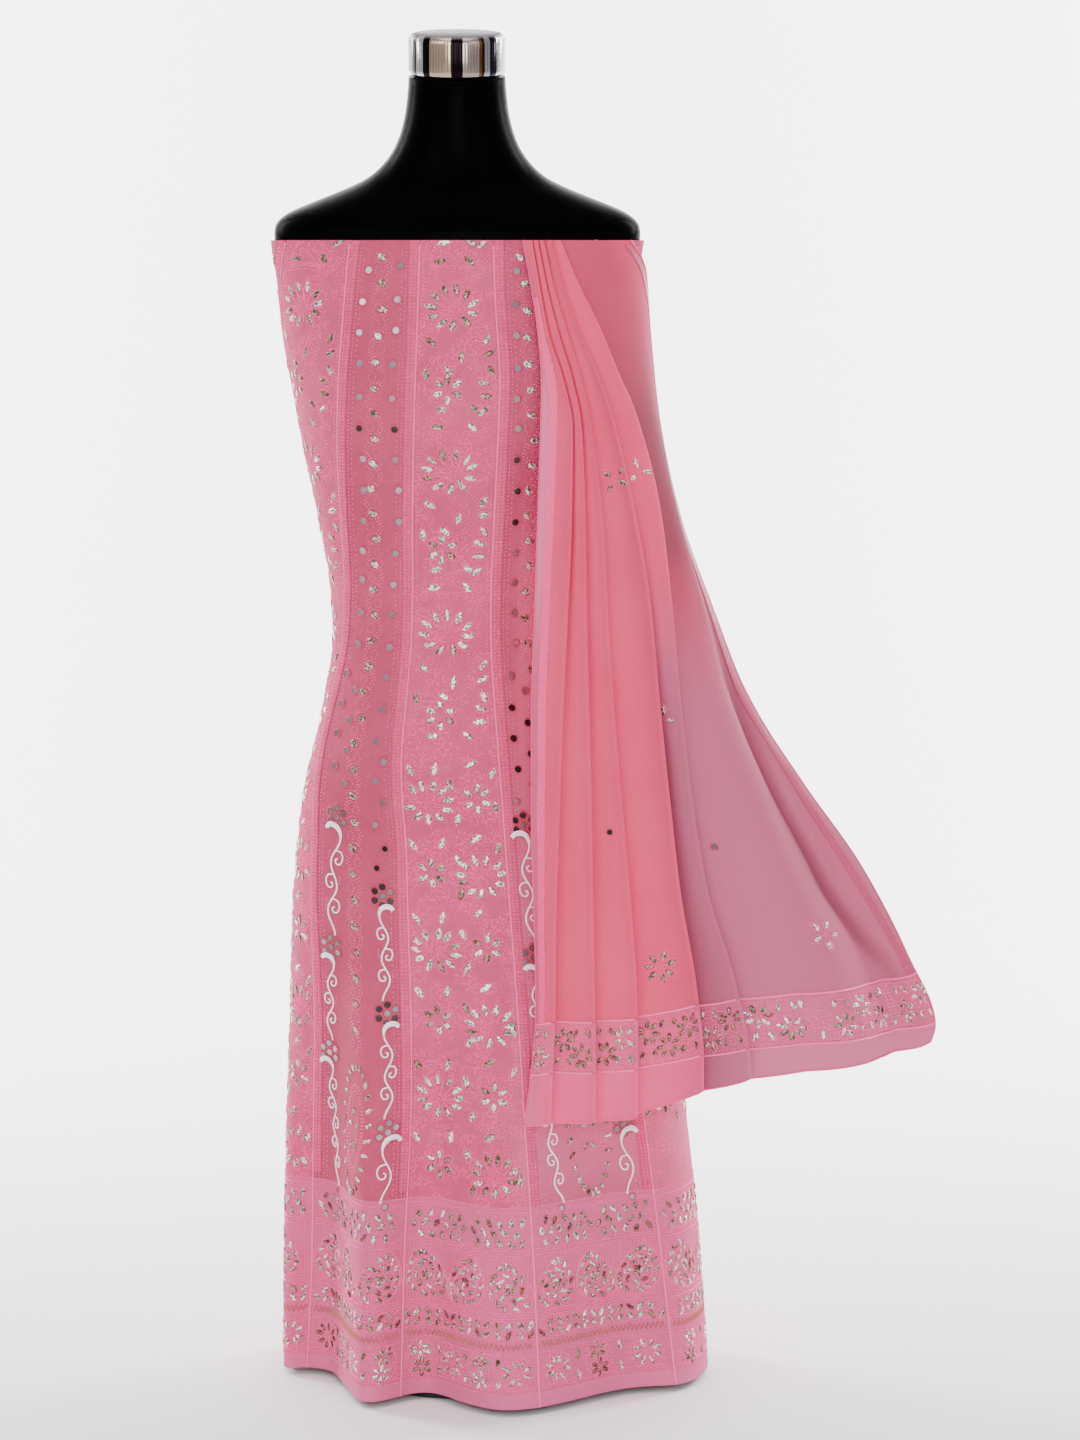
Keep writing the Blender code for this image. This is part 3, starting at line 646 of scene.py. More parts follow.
def tubes(name, chart, paths, finish, sides=3):
    """Threads or cords laid on a chart: each path is (points of u and v, radius or radii)."""
    laid = np.concatenate([path for path, _ in paths])
    radii = np.concatenate([np.broadcast_to(radius, len(path)) for path, radius in paths])[:, None]
    lengths = np.array([len(path) for path, _ in paths])
    last = np.cumsum(lengths) - 1
    first = last - lengths + 1
    points, normals = chart.at(laid[:, 0], laid[:, 1])
    ahead = np.roll(points, -1, axis=0) - points
    ahead[last] = ahead[last - 1]
    behind = np.roll(ahead, 1, axis=0)
    behind[first] = ahead[first]
    along = ahead / np.linalg.norm(ahead, axis=1, keepdims=True)
    along += behind / np.linalg.norm(behind, axis=1, keepdims=True)
    aside = np.cross(along, normals)
    aside /= np.linalg.norm(aside, axis=1, keepdims=True) + 1e-12
    angles = (math.pi / 2 + 2 * math.pi * np.arange(sides) / sides)[None, :, None]
    rings = (points + normals * (radii * 0.35))[:, None] + radii[:, None] * (
        np.cos(angles) * aside[:, None] + np.sin(angles) * normals[:, None])
    starts = np.setdiff1d(np.arange(len(laid)), last)
    faces = []
    for side in range(sides):
        a = starts * sides + side
        b = starts * sides + (side + 1) % sides
        faces += [(a, a + sides, b + sides), (a, b + sides, b)]
    for side in range(1, sides - 1):
        faces.append((first * sides, first * sides + side, first * sides + side + 1))
        faces.append((last * sides, last * sides + side + 1, last * sides + side))
    join_up(name, rings.reshape(-1, 3), np.concatenate([np.stack(face, axis=1) for face in faces]), finish)


def thread_finish(name, colour, roughness=0.5):
    """Twisted rayon thread: a soft sheen and a fine grain of strands."""
    made = principled(name, colour, roughness, sheen_weight=0.05, sheen_roughness=0.3)
    strands = noise(made, 900.0, 1.0)
    surface(made, base_color=scaled(made, colour, mapped(made, strands, to=(0.82, 1.12))))
    raised(made, strands, 0.35, 0.0003)
    return made


PIPING_RADIUS = 0.0009
FACING_FROM = 0.0003
FACING_TO = 0.0105
FACING_THICKNESS = 0.0006
piping_finish = thread_finish("piping_satin", (1.0, 0.13, 0.38))
facing_cloth = georgette("facing_georgette", (0.500, 0.048, 0.118), (0.550, 0.060, 0.140))
fill_ground(facing_cloth, FILLING, ((0.0, 0.55, 0.3, 0.0, 1.0),), period=0.0021, wander=1.5)
# Places across a facing, and how far each is puffed up
FACING_SHARES = np.array([0.0, 0.12, 0.5, 0.88, 1.0])
FACING_PUFF = np.array([0.0, 0.0004, 0.0006, 0.0004, 0.0])[None, :, None]
for name, finish in KALIS:
    chart = charts[name]
    ups = np.arange(0.0, chart.ups[-1], 0.006)
    seam = track(chart.half(ups) + 0.0002, ups)
    tubes("piping_" + name, chart, [(seam, PIPING_RADIUS)], piping_finish, sides=5)
    ups = chart.ups[chart.ups > BORDER_TOP]
    for side, mark in ((-1, "left"), (1, "right")) if finish == "mirror" else ():
        start, end = [side * (chart.half(ups) - inset) for inset in (FACING_FROM, FACING_TO)][::-side]
        us = start[:, None] + (end - start)[:, None] * FACING_SHARES
        strip = chart.over(us, ups, FACING_THICKNESS + 0.0001 + FACING_PUFF)
        facing = hang_sheet("facing_%s_%s" % (name, mark), strip, FACING_THICKNESS, facing_cloth)
        settle(facing)


# Needlework
# Everything on the cloth is worked by hand: raised pink stitches and thread lines, leaves of folded silver
# ribbon, small round mirrors in a thread ring and couched white cords. Each kind is made once and repeated.
def template():
    """Points and triangles of the active object, which is then removed."""
    made = bpy.context.object
    bpy.ops.object.transform_apply(location=True, rotation=True, scale=True)
    edit(SELECT_ALL, (bpy.ops.mesh.quads_convert_to_tris, {}),
         (bpy.ops.mesh.normals_make_consistent, {"inside": False}))
    points = np.array([tuple(vertex.co) for vertex in made.data.vertices])
    triangles = np.array([tuple(face.vertices) for face in made.data.polygons])
    bpy.data.objects.remove(made, do_unlink=True)
    return points, triangles


bpy.ops.object.select_all(action="DESELECT")
bpy.ops.mesh.primitive_cone_add(vertices=3, radius1=0.5, radius2=0.0, depth=1.0, location=(0, 0, 0.3))
STITCH = template()
bpy.ops.mesh.primitive_uv_sphere_add(segments=6, ring_count=3, radius=0.5, rotation=(0, math.pi / 2, 0))
for vertex in bpy.context.object.data.vertices:
    vertex.select = 0.1 < vertex.co.z < 0.4
edit((bpy.ops.transform.resize, {"value": (1, 0.74, 0.8), "center_override": (0.25, 0, 0)}))
LEAF = template()
bpy.ops.mesh.primitive_cylinder_add(vertices=12, radius=0.5, depth=1.0)
MIRROR = template()
bpy.ops.mesh.primitive_torus_add(major_segments=12, minor_segments=3, major_radius=0.5, minor_radius=0.10)
RING = template()


def lay(name, chart, pattern, places, finish, margin, smooth=50):
    """Copies of a template on a chart, each at (u, v, angle, length, width, height, lift, tone)."""
    places = np.array(places, dtype=float).reshape(-1, 8)
    inside = np.abs(places[:, 0]) < chart.half(places[:, 1]) - margin
    inside &= (places[:, 1] > 0.001) & (places[:, 1] < chart.ups[-1] - 0.001)
    u, v, angle, length, width, height, lift, tone = places[inside].T[:, :, None]
    points, triangles = pattern
    x = points[:, 0] * length
    y = points[:, 1] * width
    laid, normals = chart.at(u + (x * np.cos(angle) - y * np.sin(angle)),
                             v + (x * np.sin(angle) + y * np.cos(angle)))
    laid = laid + normals * (lift + points[:, 2] * height)[..., None]
    triangles = (triangles[None] + np.arange(len(u))[:, None, None] * len(points)).reshape(-1, 3)
    tones = np.repeat(tone, len(points), axis=1).reshape(-1)
    join_up(name, laid.reshape(-1, 3), triangles, finish, tones, smooth)


def curve_through(knots, step=0.003):
    """A smooth path through knots, at even steps."""
    knots = np.asarray(knots, dtype=float)
    padded = np.vstack([2 * knots[0] - knots[1], knots, 2 * knots[-1] - knots[-2]])
    t = np.linspace(0, 1, 12, endpoint=False)[:, None]
    pieces = [0.5 * (2 * b + (c - a) * t + (2 * a - 5 * b + 4 * c - d) * t ** 2
                     + (3 * b - a - 3 * c + d) * t ** 3)
              for a, b, c, d in zip(padded, padded[1:], padded[2:], padded[3:])]
    fine = np.vstack(pieces + [knots[-1:]])
    run = run_along(fine)
    stops = np.linspace(0, run[-1], max(2, int(round(run[-1] / step)) + 1))
    return track(np.interp(stops, run, fine[:, 0]), np.interp(stops, run, fine[:, 1]))


def beside(path, distance):
    """A path moved to its left."""
    ahead = np.gradient(path, axis=0)
    ahead /= np.linalg.norm(ahead, axis=1, keepdims=True) + 1e-12
    return path + distance * track(-ahead[:, 1], ahead[:, 0])


def arc(u, v, reach_u, reach_v, count, end=2 * math.pi):
    """A path along an oval."""
    t = np.linspace(0, end, count)
    return track(u + reach_u * np.cos(t), v + reach_v * np.sin(t))


def polar(u, v, bearing, reach_u, reach_v=None):
    """The point at a bearing from another."""
    return u + reach_u * math.cos(bearing), v + (reach_v or reach_u) * math.sin(bearing)


# Knots of a scroll's head and of one of its curls, across and down
SCROLL_HEAD = ((-0.0158, -0.0075), (-0.0125, -0.0110), (-0.0072, -0.0114), (-0.0025, -0.0090),
               (0.0, -0.0035), (0.0, 0.0))
SCROLL_CURL = ((0.0, 0.0), (0.0060, 0.0014), (0.0080, 0.0064), (0.0060, 0.0118), (0.0018, 0.0124),
               (0.0004, 0.0090), (0.0028, 0.0074))


class Needlework:
    """The work on one sheet, gathered before it is laid."""

    def __init__(self, seed, dull=((0.0, 0.3),)):
        self.chance = random.Random(seed)
        self.dull_ups, self.dull_shares = zip(*dull)
        self.stitches, self.leaves, self.mirrors, self.rings = [], [], [], []
        self.lines, self.cords, self.zari = [], [], []

    def leaf(self, u, v, angle, length=0.0128, width=0.0082, tone=None):
        jitter = self.chance.uniform
        if tone is None:
            dull = np.interp(v, self.dull_ups, self.dull_shares)
            tone = jitter(0.30, 0.68) if self.chance.random() < dull else 0.30 * jitter(0.0, 1.0) ** 1.5
        self.leaves.append((u, v, angle + jitter(-0.12, 0.12), length * jitter(0.95, 1.2),
                            width * jitter(0.9, 1.15), 0.0026, 0.0005, tone))

    def mirror(self, u, v, width=0.0062, tone=None):
        # Painted reflection: the tone darkens the mirror's colour towards black
        tone = self.chance.uniform(0.0, 0.35) if tone is None else tone
        self.mirrors.append((u, v, 0.0, width, width, 0.0009, 0.0005, tone))
        self.rings.append((u, v, 0.0, width * 1.16, width * 1.16, 0.0085, 0.0006, 0.0))

    def dots(self, path, gap=0.0038, size=0.0029, lift=0.0):
        """A row of short stitches along a path."""
        run = run_along(path)
        stops = np.arange(0.0, run[-1], gap)
        ahead = np.gradient(path, axis=0)
        angles = np.interp(stops, run, np.unwrap(np.arctan2(ahead[:, 1], ahead[:, 0])))
        for u, v, angle in zip(np.interp(stops, run, path[:, 0]), np.interp(stops, run, path[:, 1]), angles):
            self.stitches.append((u, v, angle, size, size * 0.85, 0.0014, lift, self.chance.random()))

    def stem(self, knots):
        """A double row of stitches along a curve."""
        path = curve_through(knots)
        self.dots(beside(path, 0.0016))
        self.dots(beside(path, -0.0016))

    def petal(self, start, end, width):
        """A pointed petal outlined in thread, with stitches across its foot."""
        start = np.array(start)
        ahead = np.array(end) - start
        t = np.linspace(0.0, 1.0, 6)[:, None]
        aside = np.array([-ahead[1], ahead[0]]) / (np.linalg.norm(ahead) + 1e-9)
        bulge = width * np.sin(math.pi * t ** 0.8) ** 0.9
        radii = 0.00062 * np.array([0.3, 0.8, 1.0, 1.0, 0.9, 0.5])
        for share in (-1.0, 1.0):
            self.lines.append((start + ahead * t + aside * bulge * share, radii))
        angle = math.atan2(ahead[1], ahead[0])
        for share in (0.18, 0.32):
            self.stitches.append((*(start + ahead * share), angle, 0.0028, 0.0013, 0.0010, 0.0,
                                  self.chance.random()))

    def flower(self, u, v, reach_u, reach_v, petals, turn, focus=(0.0, 0.0),
               length=0.0126, width=0.0078, tone=None):
        """Leaves round an oval, each in a petal that comes from the focus."""
        start = (u + focus[0], v + focus[1])
        for number in range(petals):
            bearing = turn + 2 * math.pi * (number + self.chance.uniform(-0.12, 0.12)) / petals
            at = polar(u, v, bearing, reach_u, reach_v)
            angle = math.atan2(at[1] - start[1], at[0] - start[0])
            self.leaf(*at, angle, length, width, tone)
            self.petal(polar(*start, angle, 0.0045), polar(*at, angle, length * 0.85), width * 0.62)
        self.dots(arc(*start, 0.0024, 0.0024, 7))

    def arches(self, start, end, v):
        """Two rows of stitches with small loops on them."""
        path = curve_through([(start, v - 0.001), ((start + end) / 2, v + 0.0015), (end, v - 0.0005)])
        self.dots(path)
        self.dots(path + np.array([0.0, 0.0036]))
        for at in np.arange(start + 0.003, end, 0.0062):
            self.lines.append((arc(at, v + 0.0056, 0.0024, 0.0028, 5, math.pi), 0.00055))

    def rosette(self, u, v, painted_dark=False):
        """Seven mirrors, each in a red ring that touches the next."""
        for number in range(7):
            at = polar(u, v, math.pi / 2 + number * math.pi / 3, 0.0 if number == 6 else 0.0098)
            # Painted reflection: a dark rosette's outer mirrors are painted near black
            tone = self.chance.uniform(*((0.7, 1.0) if painted_dark and number < 5 else (0.15, 0.5)))
            self.mirrors.append((*at, 0.0, 0.0066, 0.0066, 0.0009, 0.0006, tone))
            self.rings.append((*at, 0.0, 0.0094, 0.0094, 0.0080, 0.0005, 0.0))

    def scroll(self, head, foot, side):
        """A white cord from a heavy curved head down a wavy stem, with a curl at every bend."""
        head, foot = np.array(head), np.array(foot)
        length = np.linalg.norm(foot - head)
        down = (foot - head) / length
        aside = side * np.array([down[1], -down[0]])
        waves = max(1, int(round(length / 0.045)))
        size = length / waves / 0.045
        t = np.linspace(0.0, 1.0, int(length / 0.0024))
        sway = 0.0042 * size * np.cos(2 * math.pi * waves * t)
        self.cords.append((head + down * (t * length)[:, None] + aside * sway[:, None], 0.00095))
        bow = curve_through(np.array(SCROLL_HEAD) * size)
        bow = head + aside * (bow[:, :1] + 0.0042 * size) + down * bow[:, 1:]
        self.cords.append((bow, 0.0029 * np.sin(math.pi * np.linspace(0.28, 0.92, len(bow))) ** 0.8))
        for number in range(2 * waves - int(size > 0.9)):
            base = head + down * ((number + 0.5) * length / (2 * waves))
            way = -1 if number % 2 else 1
            curl = curve_through(np.array(SCROLL_CURL) * size, 0.0016)
            self.cords.append((base + way * aside * curl[:, :1] + down * curl[:, 1:], 0.00085))
            tick = base - way * aside * 0.0075 + down * 0.002
            self.dots(np.array([tick, tick + down * 0.0075]), gap=0.0034)

    def ring_of_leaves(self, u, v, reach_u, reach_v, leaves):
        """A pointed oval of leaves round outlines of thread."""
        for number in range(leaves):
            bearing = math.pi / 2 + 2 * math.pi * number / leaves
            self.leaf(*polar(u, v, bearing, reach_u, reach_v), bearing + 0.4, 0.0090, 0.0060,
                      self.tarnished())
        for share in (0.72, 0.62, 0.34):
            self.dots(arc(u, v, share * reach_u, share * reach_v, 37))
        for number in range(5):
            bearing = math.pi / 2 + 2 * math.pi * number / 5
            self.leaf(*polar(u, v, bearing, 0.30 * reach_u, 0.30 * reach_v), bearing, 0.0085, 0.0052)

    def tarnished(self):
        """A tone between dull silver and brown."""
        return self.chance.choice((0.10, 0.22, 0.30, 0.36, 0.42, 0.48, 0.55, 0.62, 0.95))

    def paisley(self, u, v, reach_u, reach_v, lean):
        """A slanted drop of nested thread outlines, with leaves that follow them."""
        def outline(share, t):
            x = np.cos(t) * (1 - 0.24 * np.sin(t))
            y = np.sin(t) + 0.16 * np.maximum(0, np.sin(t)) ** 5
            return np.stack([u + share * (reach_u * x + lean * reach_v * y),
                             v + share * reach_v * y], axis=-1)

        for share in (1.05, 0.97, 0.68, 0.61, 0.26):
            self.lines.append((outline(share, np.linspace(0, 2 * math.pi, 29)), 0.0006))
        for share, leaves in ((0.84, 13), (0.50, 8), (0.15, 3)):
            for number in range(leaves):
                t = 2 * math.pi * (number + self.chance.uniform(-0.15, 0.15)) / leaves
                at, ahead = outline(share, np.array(t)), outline(share, np.array(t + 0.1))
                angle = math.atan2(ahead[1] - at[1], ahead[0] - at[0]) - self.chance.uniform(0.5, 1.0)
                self.leaf(*at, angle, 0.0090, 0.0062, self.tarnished())


# Share of dull leaves at a height: bright down the front's middle, dull at the sides and back as painted
# shade
DULL_FRONT = ((0.25, 0.45), (0.55, 0.10), (0.95, 0.15), (1.03, 0.80))
DULL_SIDE = ((0.20, 0.60), (0.35, 0.85), (1.10, 0.92), (1.20, 0.60))
works = {name: Needlework(number, DULL_FRONT if name == "front_centre" else DULL_SIDE)
         for number, (name, _) in enumerate(KALIS)}

# Rows of stitches run down beside every seam, and on a mirror kali's facings
SEAM_ROWS = {
    #          inset   gap     lift
    "vine": ((0.0042, 0.0038, 0.0),),
    "mirror": ((0.0132, 0.0038, 0.0), (0.0178, 0.0056, 0.0), (0.0036, 0.0038, FACING_THICKNESS + 0.0006),
               (0.0078, 0.0038, FACING_THICKNESS + 0.0006)),
}
for name, finish in KALIS:
    chart = charts[name]
    ups = np.arange(BORDER_TOP, chart.ups[-1] - 0.003, 0.004)
    for side in (-1, 1):
        for inset, gap, lift in SEAM_ROWS[finish]:
            works[name].dots(track(side * (chart.half(ups) - inset), ups), gap, lift=lift)

# Vine kalis: a large flower, a small one and loose leaves in every repeat, joined by wavy double stems
VINE_REPEAT = 0.1745
VINE_TOP = 1.166
VINE_HALF = 0.0435
PAIR_TOP = 0.640
PAIR_STEP = 0.0785
LOOSE_LEAVES = (
    # across  up      angle
    (-0.0200, 0.0480, 0.10),
    (0.0150, 0.0480, -0.80),
    (0.0275, 0.0650, 0.70),
    (-0.0275, -0.0369, -0.56),
    (0.0050, -0.0518, 1.40),
    (-0.0080, -0.0660, -0.70),
    (-0.0340, -0.0700, -1.30),
    (0.0330, -0.0340, 1.05),
    (0.0320, -0.0485, 0.50),
    (0.0350, -0.0664, -1.05),
    (0.0285, -0.0790, -0.35),
    (0.0285, -0.0930, 0.0),
    (-0.0165, -0.1075, 0.17),
    (0.0160, -0.1066, -0.70),
)
PAIR_LEAVES = (
    # share   up      angle
    (-0.84, 0.0330, -1.00),
    (-0.30, 0.0350, 1.25),
    (0.02, 0.0180, -1.20),
    (0.10, -0.0180, 1.15),
    (0.40, 0.0400, 0.60),
    (0.86, 0.0300, 1.00),
    (0.90, -0.0050, -1.40),
    (-0.92, 0.0020, 1.40),
)
# Knots of each stem, across and up
VINE_STEMS = (
    ((0.006, -0.012), (0.022, -0.030), (0.020, -0.055), (0.002, -0.075)),
    ((-0.012, -0.098), (-0.026, -0.115), (-0.028, -0.140)),
    ((0.036, 0.052), (0.026, 0.040), (0.034, 0.020)),
    ((0.022, -0.104), (0.028, -0.120), (0.038, -0.132)),
    ((-0.034, 0.030), (-0.038, 0.005), (-0.033, -0.025)),
    ((-0.022, -0.050), (-0.030, -0.058), (-0.038, -0.085)),
)


def petalled_leaf(work, u, v, angle):
    """A loose leaf in its outline of thread."""
    work.leaf(u, v, angle)
    ahead = np.array([math.cos(angle), math.sin(angle)]) * 0.0088
    work.petal((u - ahead[0], v - ahead[1]), (u + ahead[0], v + ahead[1]), 0.0046)


for name, finish in KALIS:
    if finish != "vine":
        continue
    chart, work = charts[name], works[name]
    jitter = work.chance.uniform
    flip = -1 if name.endswith("right") else 1
    shift = 0.0 if name == "front_centre" else jitter(-0.03, 0.03)
    for number in range(-1, 3):
        v = VINE_TOP + shift - number * VINE_REPEAT
        half = chart.half(v)
        spread = flip * half / VINE_HALF
        work.flower(-0.0054 * spread, v, min(0.0235, half * 0.56), 0.0190, 11, jitter(0, 0.5),
                    (0.006 * flip, -0.005))
        work.flower(-0.0107 * spread, v - 0.086, 0.0112, 0.0112, 6, math.pi / 2, length=0.0100, width=0.0084)
        for across, up, angle in LOOSE_LEAVES:
            at = across * flip * chart.half(v + up) / VINE_HALF
            petalled_leaf(work, at + jitter(-0.002, 0.002), v + up, angle * flip)
        work.arches(-0.030 * half / VINE_HALF, 0.014 * half / VINE_HALF, v + 0.0356)
        for knots in VINE_STEMS:
            work.stem([(across * spread, v + up) for across, up in knots])
    for row in range(int((PAIR_TOP + shift - BORDER_TOP - 0.012) / PAIR_STEP) + 1):
        v = PAIR_TOP + shift - row * PAIR_STEP
        half = chart.half(v)
        way = flip * (1 if row % 2 else -1)
        narrow = half < 0.040
        work.flower(way * (0.0 if narrow else 0.48) * half, v, min(0.0215, half * 0.46), 0.0178, 11,
                    jitter(0, 0.6), (0.003 * way, -0.005), length=0.0118)
        if not narrow:
            work.flower(-way * 0.50 * half, v + 0.004, 0.0108, 0.0108, 6, math.pi / 2,
                        length=0.0100, width=0.0082)
        for share, up, angle in PAIR_LEAVES:
            petalled_leaf(work, flip * share * half + jitter(-0.002, 0.002), v + up, angle * flip)
        for side in (-half, half):
            work.stem([(side * 0.15, v + 0.050), (side * 0.56, v + 0.040), (side * 0.66, v + 0.022)])
            work.stem([(side * 0.90, v + 0.020), (side * 0.74, v), (side * 0.88, v - 0.020)])
        work.arches(-0.62 * half, -0.16 * half, v + 0.030)

# Mirror kalis: two columns of mirrors beside a column of leaves; from the knee down rosettes and white cords
COLUMN_SHARES = (
    # up     left   right
    (0.100, 0.45, 0.66),
    (0.200, 0.50, 0.68),
    (0.360, 0.70, 0.64),
    (0.476, 0.57, 0.58),
    (0.616, 0.34, 0.54),
    (0.660, 0.30, 0.57),
    (0.700, 0.38, 0.56),
    (0.750, 0.42, 0.50),
    (0.800, 0.42, 0.46),
    (0.870, 0.35, 0.53),
    (0.930, 0.25, 0.65),
    (0.960, 0.22, 0.67),
    (0.990, 0.22, 0.56),
    (1.025, 0.40, 0.57),
    (1.062, 0.38, 0.45),
    (1.132, 0.51, 0.45),
    (1.164, 0.50, 0.43),
    (1.205, 0.40, 0.50),
)
# The front right kali's left column lies nearer to its seam
NEAR_SHARES = (
    # up     share
    (0.100, 0.45),
    (0.200, 0.50),
    (0.360, 0.70),
    (0.476, 0.68),
    (0.616, 0.66),
    (0.660, 0.57),
    (0.740, 0.53),
    (0.790, 0.44),
    (0.850, 0.45),
    (0.900, 0.50),
    (1.010, 0.53),
    (1.080, 0.57),
    (1.126, 0.52),
    (1.164, 0.45),
    (1.205, 0.38),
)
# Mirrors painted near black as a reflection of the room's dark: side, from and up to which height
MIRRORS_PAINTED_DARK = {
    "front_left": ((-1, 1.005, 1.040), (1, 1.005, 1.040), (1, 0.550, 0.600)),
    "front_right": ((-1, 0.925, 1.020), (-1, 0.650, 0.750)),
}
MIRROR_COLUMNS = (
    # side top   low    split  sway    gap
    (-1, 1.204, 0.640, 0.790, 0.0078, 0.0165),
    (1, 1.209, 0.560, 0.730, 0.0045, 0.0225),
)
# Side and height of each rosette; painted dark reflection or not: on the front right kali, on the others
ROSETTES = ((-1, 0.616, True, False), (-1, 0.476, False, False), (-1, 0.360, False, False),
            (1, 0.538, True, True), (1, 0.414, True, True), (1, 0.288, False, False))
# Side, top and foot of each scroll
SCROLLS = ((-1, 0.594, 0.490), (-1, 0.456, 0.374), (-1, 0.342, BORDER_TOP),
           (1, 0.516, 0.428), (1, 0.392, 0.303), (1, 0.268, 0.212))
for name, finish in KALIS:
    if finish != "mirror":
        continue
    chart, work = charts[name], works[name]
    jitter = work.chance.uniform
    front_right = name == "front_right"

    def column(side, v):
        """The place of the mirrors' column at a height, to the left or to the right."""
        shares = smooth_table(NEAR_SHARES if front_right and side < 0 else COLUMN_SHARES, v)
        return side * shares[0 if side < 0 else 1] * chart.half(v), v

    # Painted reflection: each mirror's tone darkens its colour; the listed ones are painted near black
    for side, v, low, split, sway, gap in MIRROR_COLUMNS:
        way = 1
        while v > low:
            painted_dark = any(side == at and start < v < end for at, start, end in MIRRORS_PAINTED_DARK.get(name, ()))
            swung = way * sway if v < split else 0.0
            work.mirror(column(side, v)[0] + swung + jitter(-0.0012, 0.0012), v,
                        0.0070 if v > 0.65 else 0.0062, 0.95 if painted_dark else jitter(0.0, 0.42))
            v -= jitter(0.0315, 0.0355) if v > split else gap * jitter(0.92, 1.08)
            way = -way
    v = 1.218
    way = 1
    spine, dullest = (-0.0075, 0.20) if front_right else (0.0, 0.62)
    while v > BORDER_TOP + 0.165:
        work.leaf(spine + jitter(-0.003, 0.003), v, jitter(-0.9, 0.3), 0.0100, 0.0098,
                  jitter(0.0, dullest) if v > 0.85 else jitter(0.35, 0.66))
        work.stem([(spine + across * way, v - down)
                   for across, down in ((0.004, 0.004), (0.0085, 0.014), (0.003, 0.0245))])
        work.dots(arc(spine, v, 0.0082, 0.0066, 13), gap=0.0033, size=0.0024)
        work.dots(arc(spine - 0.004 * way, v - 0.0142, 0.0040, 0.0048, 13), gap=0.0033, size=0.0024)
        way = -way
        v -= 0.0275
    for side, v, here, elsewhere in ROSETTES:
        work.rosette(*column(side, v), here if front_right else elsewhere)
    for side, top, foot in SCROLLS:
        work.scroll(column(side, top), column(side, foot), side)
    for side in (-1, 1):
        work.mirror(*column(side, BORDER_TOP - 0.006))
    half = chart.half(0.285)
    work.ring_of_leaves(0.06 * half, 0.286, min(0.0245, 0.34 * half), 0.068, 26)

# The hem's borders run round all kalis in bands between rows of stitches
BORDER_ROWS = (0.214, 0.206, 0.166, 0.160, 0.100, 0.094, 0.074, 0.058, 0.020, 0.0155)
for number, (name, finish) in enumerate(KALIS):
    chart, work = charts[name], works[name]
    jitter = work.chance.uniform
    tone = work.tarnished
    width = 2 * chart.half(0.1)
    for v in BORDER_ROWS:
        half = chart.half(v) - 0.003
        row = track(np.linspace(-half, half, 30), v)
        work.dots(row)
        if v not in (0.214, 0.058, 0.0155):
            work.lines.append((row + np.array([0.0, 0.0028]), 0.0006))
    # Three crowded rows of leaves, in groups of five
    room = 2 * chart.half(0.186) - 0.014
    count = int(room / 0.0122)
    for k in range(count):
        for v, aside in ((0.1975, 0.5), (0.1862, 0.0), (0.1750, 0.5)):
            if k % 6 != 5 or not aside:
                work.leaf(((k + aside + 0.25) / count - 0.5) * room + jitter(-0.0014, 0.0014),
                          v + jitter(-0.0015, 0.0015), math.pi / 2 + jitter(-0.8, 0.8),
                          0.0098, 0.0072, tone())
    # Slanted paisleys on a ground of upright threads
    paisleys = max(1, int(round(width / 0.062)))
    for k in range(paisleys):
        u = ((k + 0.5) / paisleys - 0.5) * (2 * chart.half(0.13))
        lean = jitter(0.15, 0.35) * (1 if (k + number) % 2 else -1)
        work.paisley(u, 0.1285 + jitter(-0.001, 0.001), min(0.0262, 0.45 * width / paisleys), 0.0255, lean)
    # Leaves in pairs that open upward, between wavy threads
    room = 2 * chart.half(0.085)
    pairs = max(2, int(round(room / 0.0235)))
    for k in range(pairs):
        u = ((k + 0.5) / pairs - 0.5) * room
        for side in (-1, 1):
            for v in (0.0888, 0.0790):
                work.leaf(u + side * 0.0056, v, math.pi / 2 - side * jitter(0.45, 0.85),
                          0.0104, 0.0066, tone())
    half = room / 2 - 0.003
    along = np.linspace(-half, half, 12 * pairs)
    for v, rise in ((0.0925, 0.0018), (0.0838, 0.0022), (0.0750, 0.0018)):
        work.lines.append((track(along, v + rise * np.cos(2 * math.pi * pairs * along / (2 * half))), 0.0006))
    # A fine zigzag of gold thread
    half = chart.half(0.066) - 0.004
    along = np.arange(-half, half, 0.0026)
    rise = 0.0034 * np.where(np.arange(len(along)) % 2, 1, -1)
    work.zari += [(track(along + shift, 0.0665 + rise), 0.00045) for shift in (0.0, 0.0010)]
    # A large flower, then two small ones one above the other, with a leaf above and below between them
    groups = max(1, int(round(width / 0.047)))
    room = 2 * chart.half(0.038)
    for k in range(groups):
        u = ((k + 0.5) / groups - 0.5) * room + jitter(-0.003, 0.003)
        if (k + number) % 2:
            work.flower(u, 0.0385, 0.0120, 0.0100, 8, jitter(0, 1), length=0.0094, width=0.0062, tone=tone())
        for v in () if (k + number) % 2 else (0.0475, 0.0288):
            work.flower(u + jitter(-0.002, 0.002), v, 0.0078, 0.0064, 6, jitter(0, 1),
                        length=0.0088, width=0.0060, tone=tone())
        for v in (0.0490, 0.0265) if k + 1 < groups else ():
            work.leaf(u + 0.5 * room / groups, v, math.pi / 2 + jitter(-0.4, 0.4), 0.0096, 0.0068, tone())
        t = np.linspace(-1.3, 1.3, 9)
        for side in (-1, 1):
            work.dots(track(u + side * (0.0060 + 0.0120 * np.cos(t)), 0.0380 + 0.0165 * np.sin(t)))
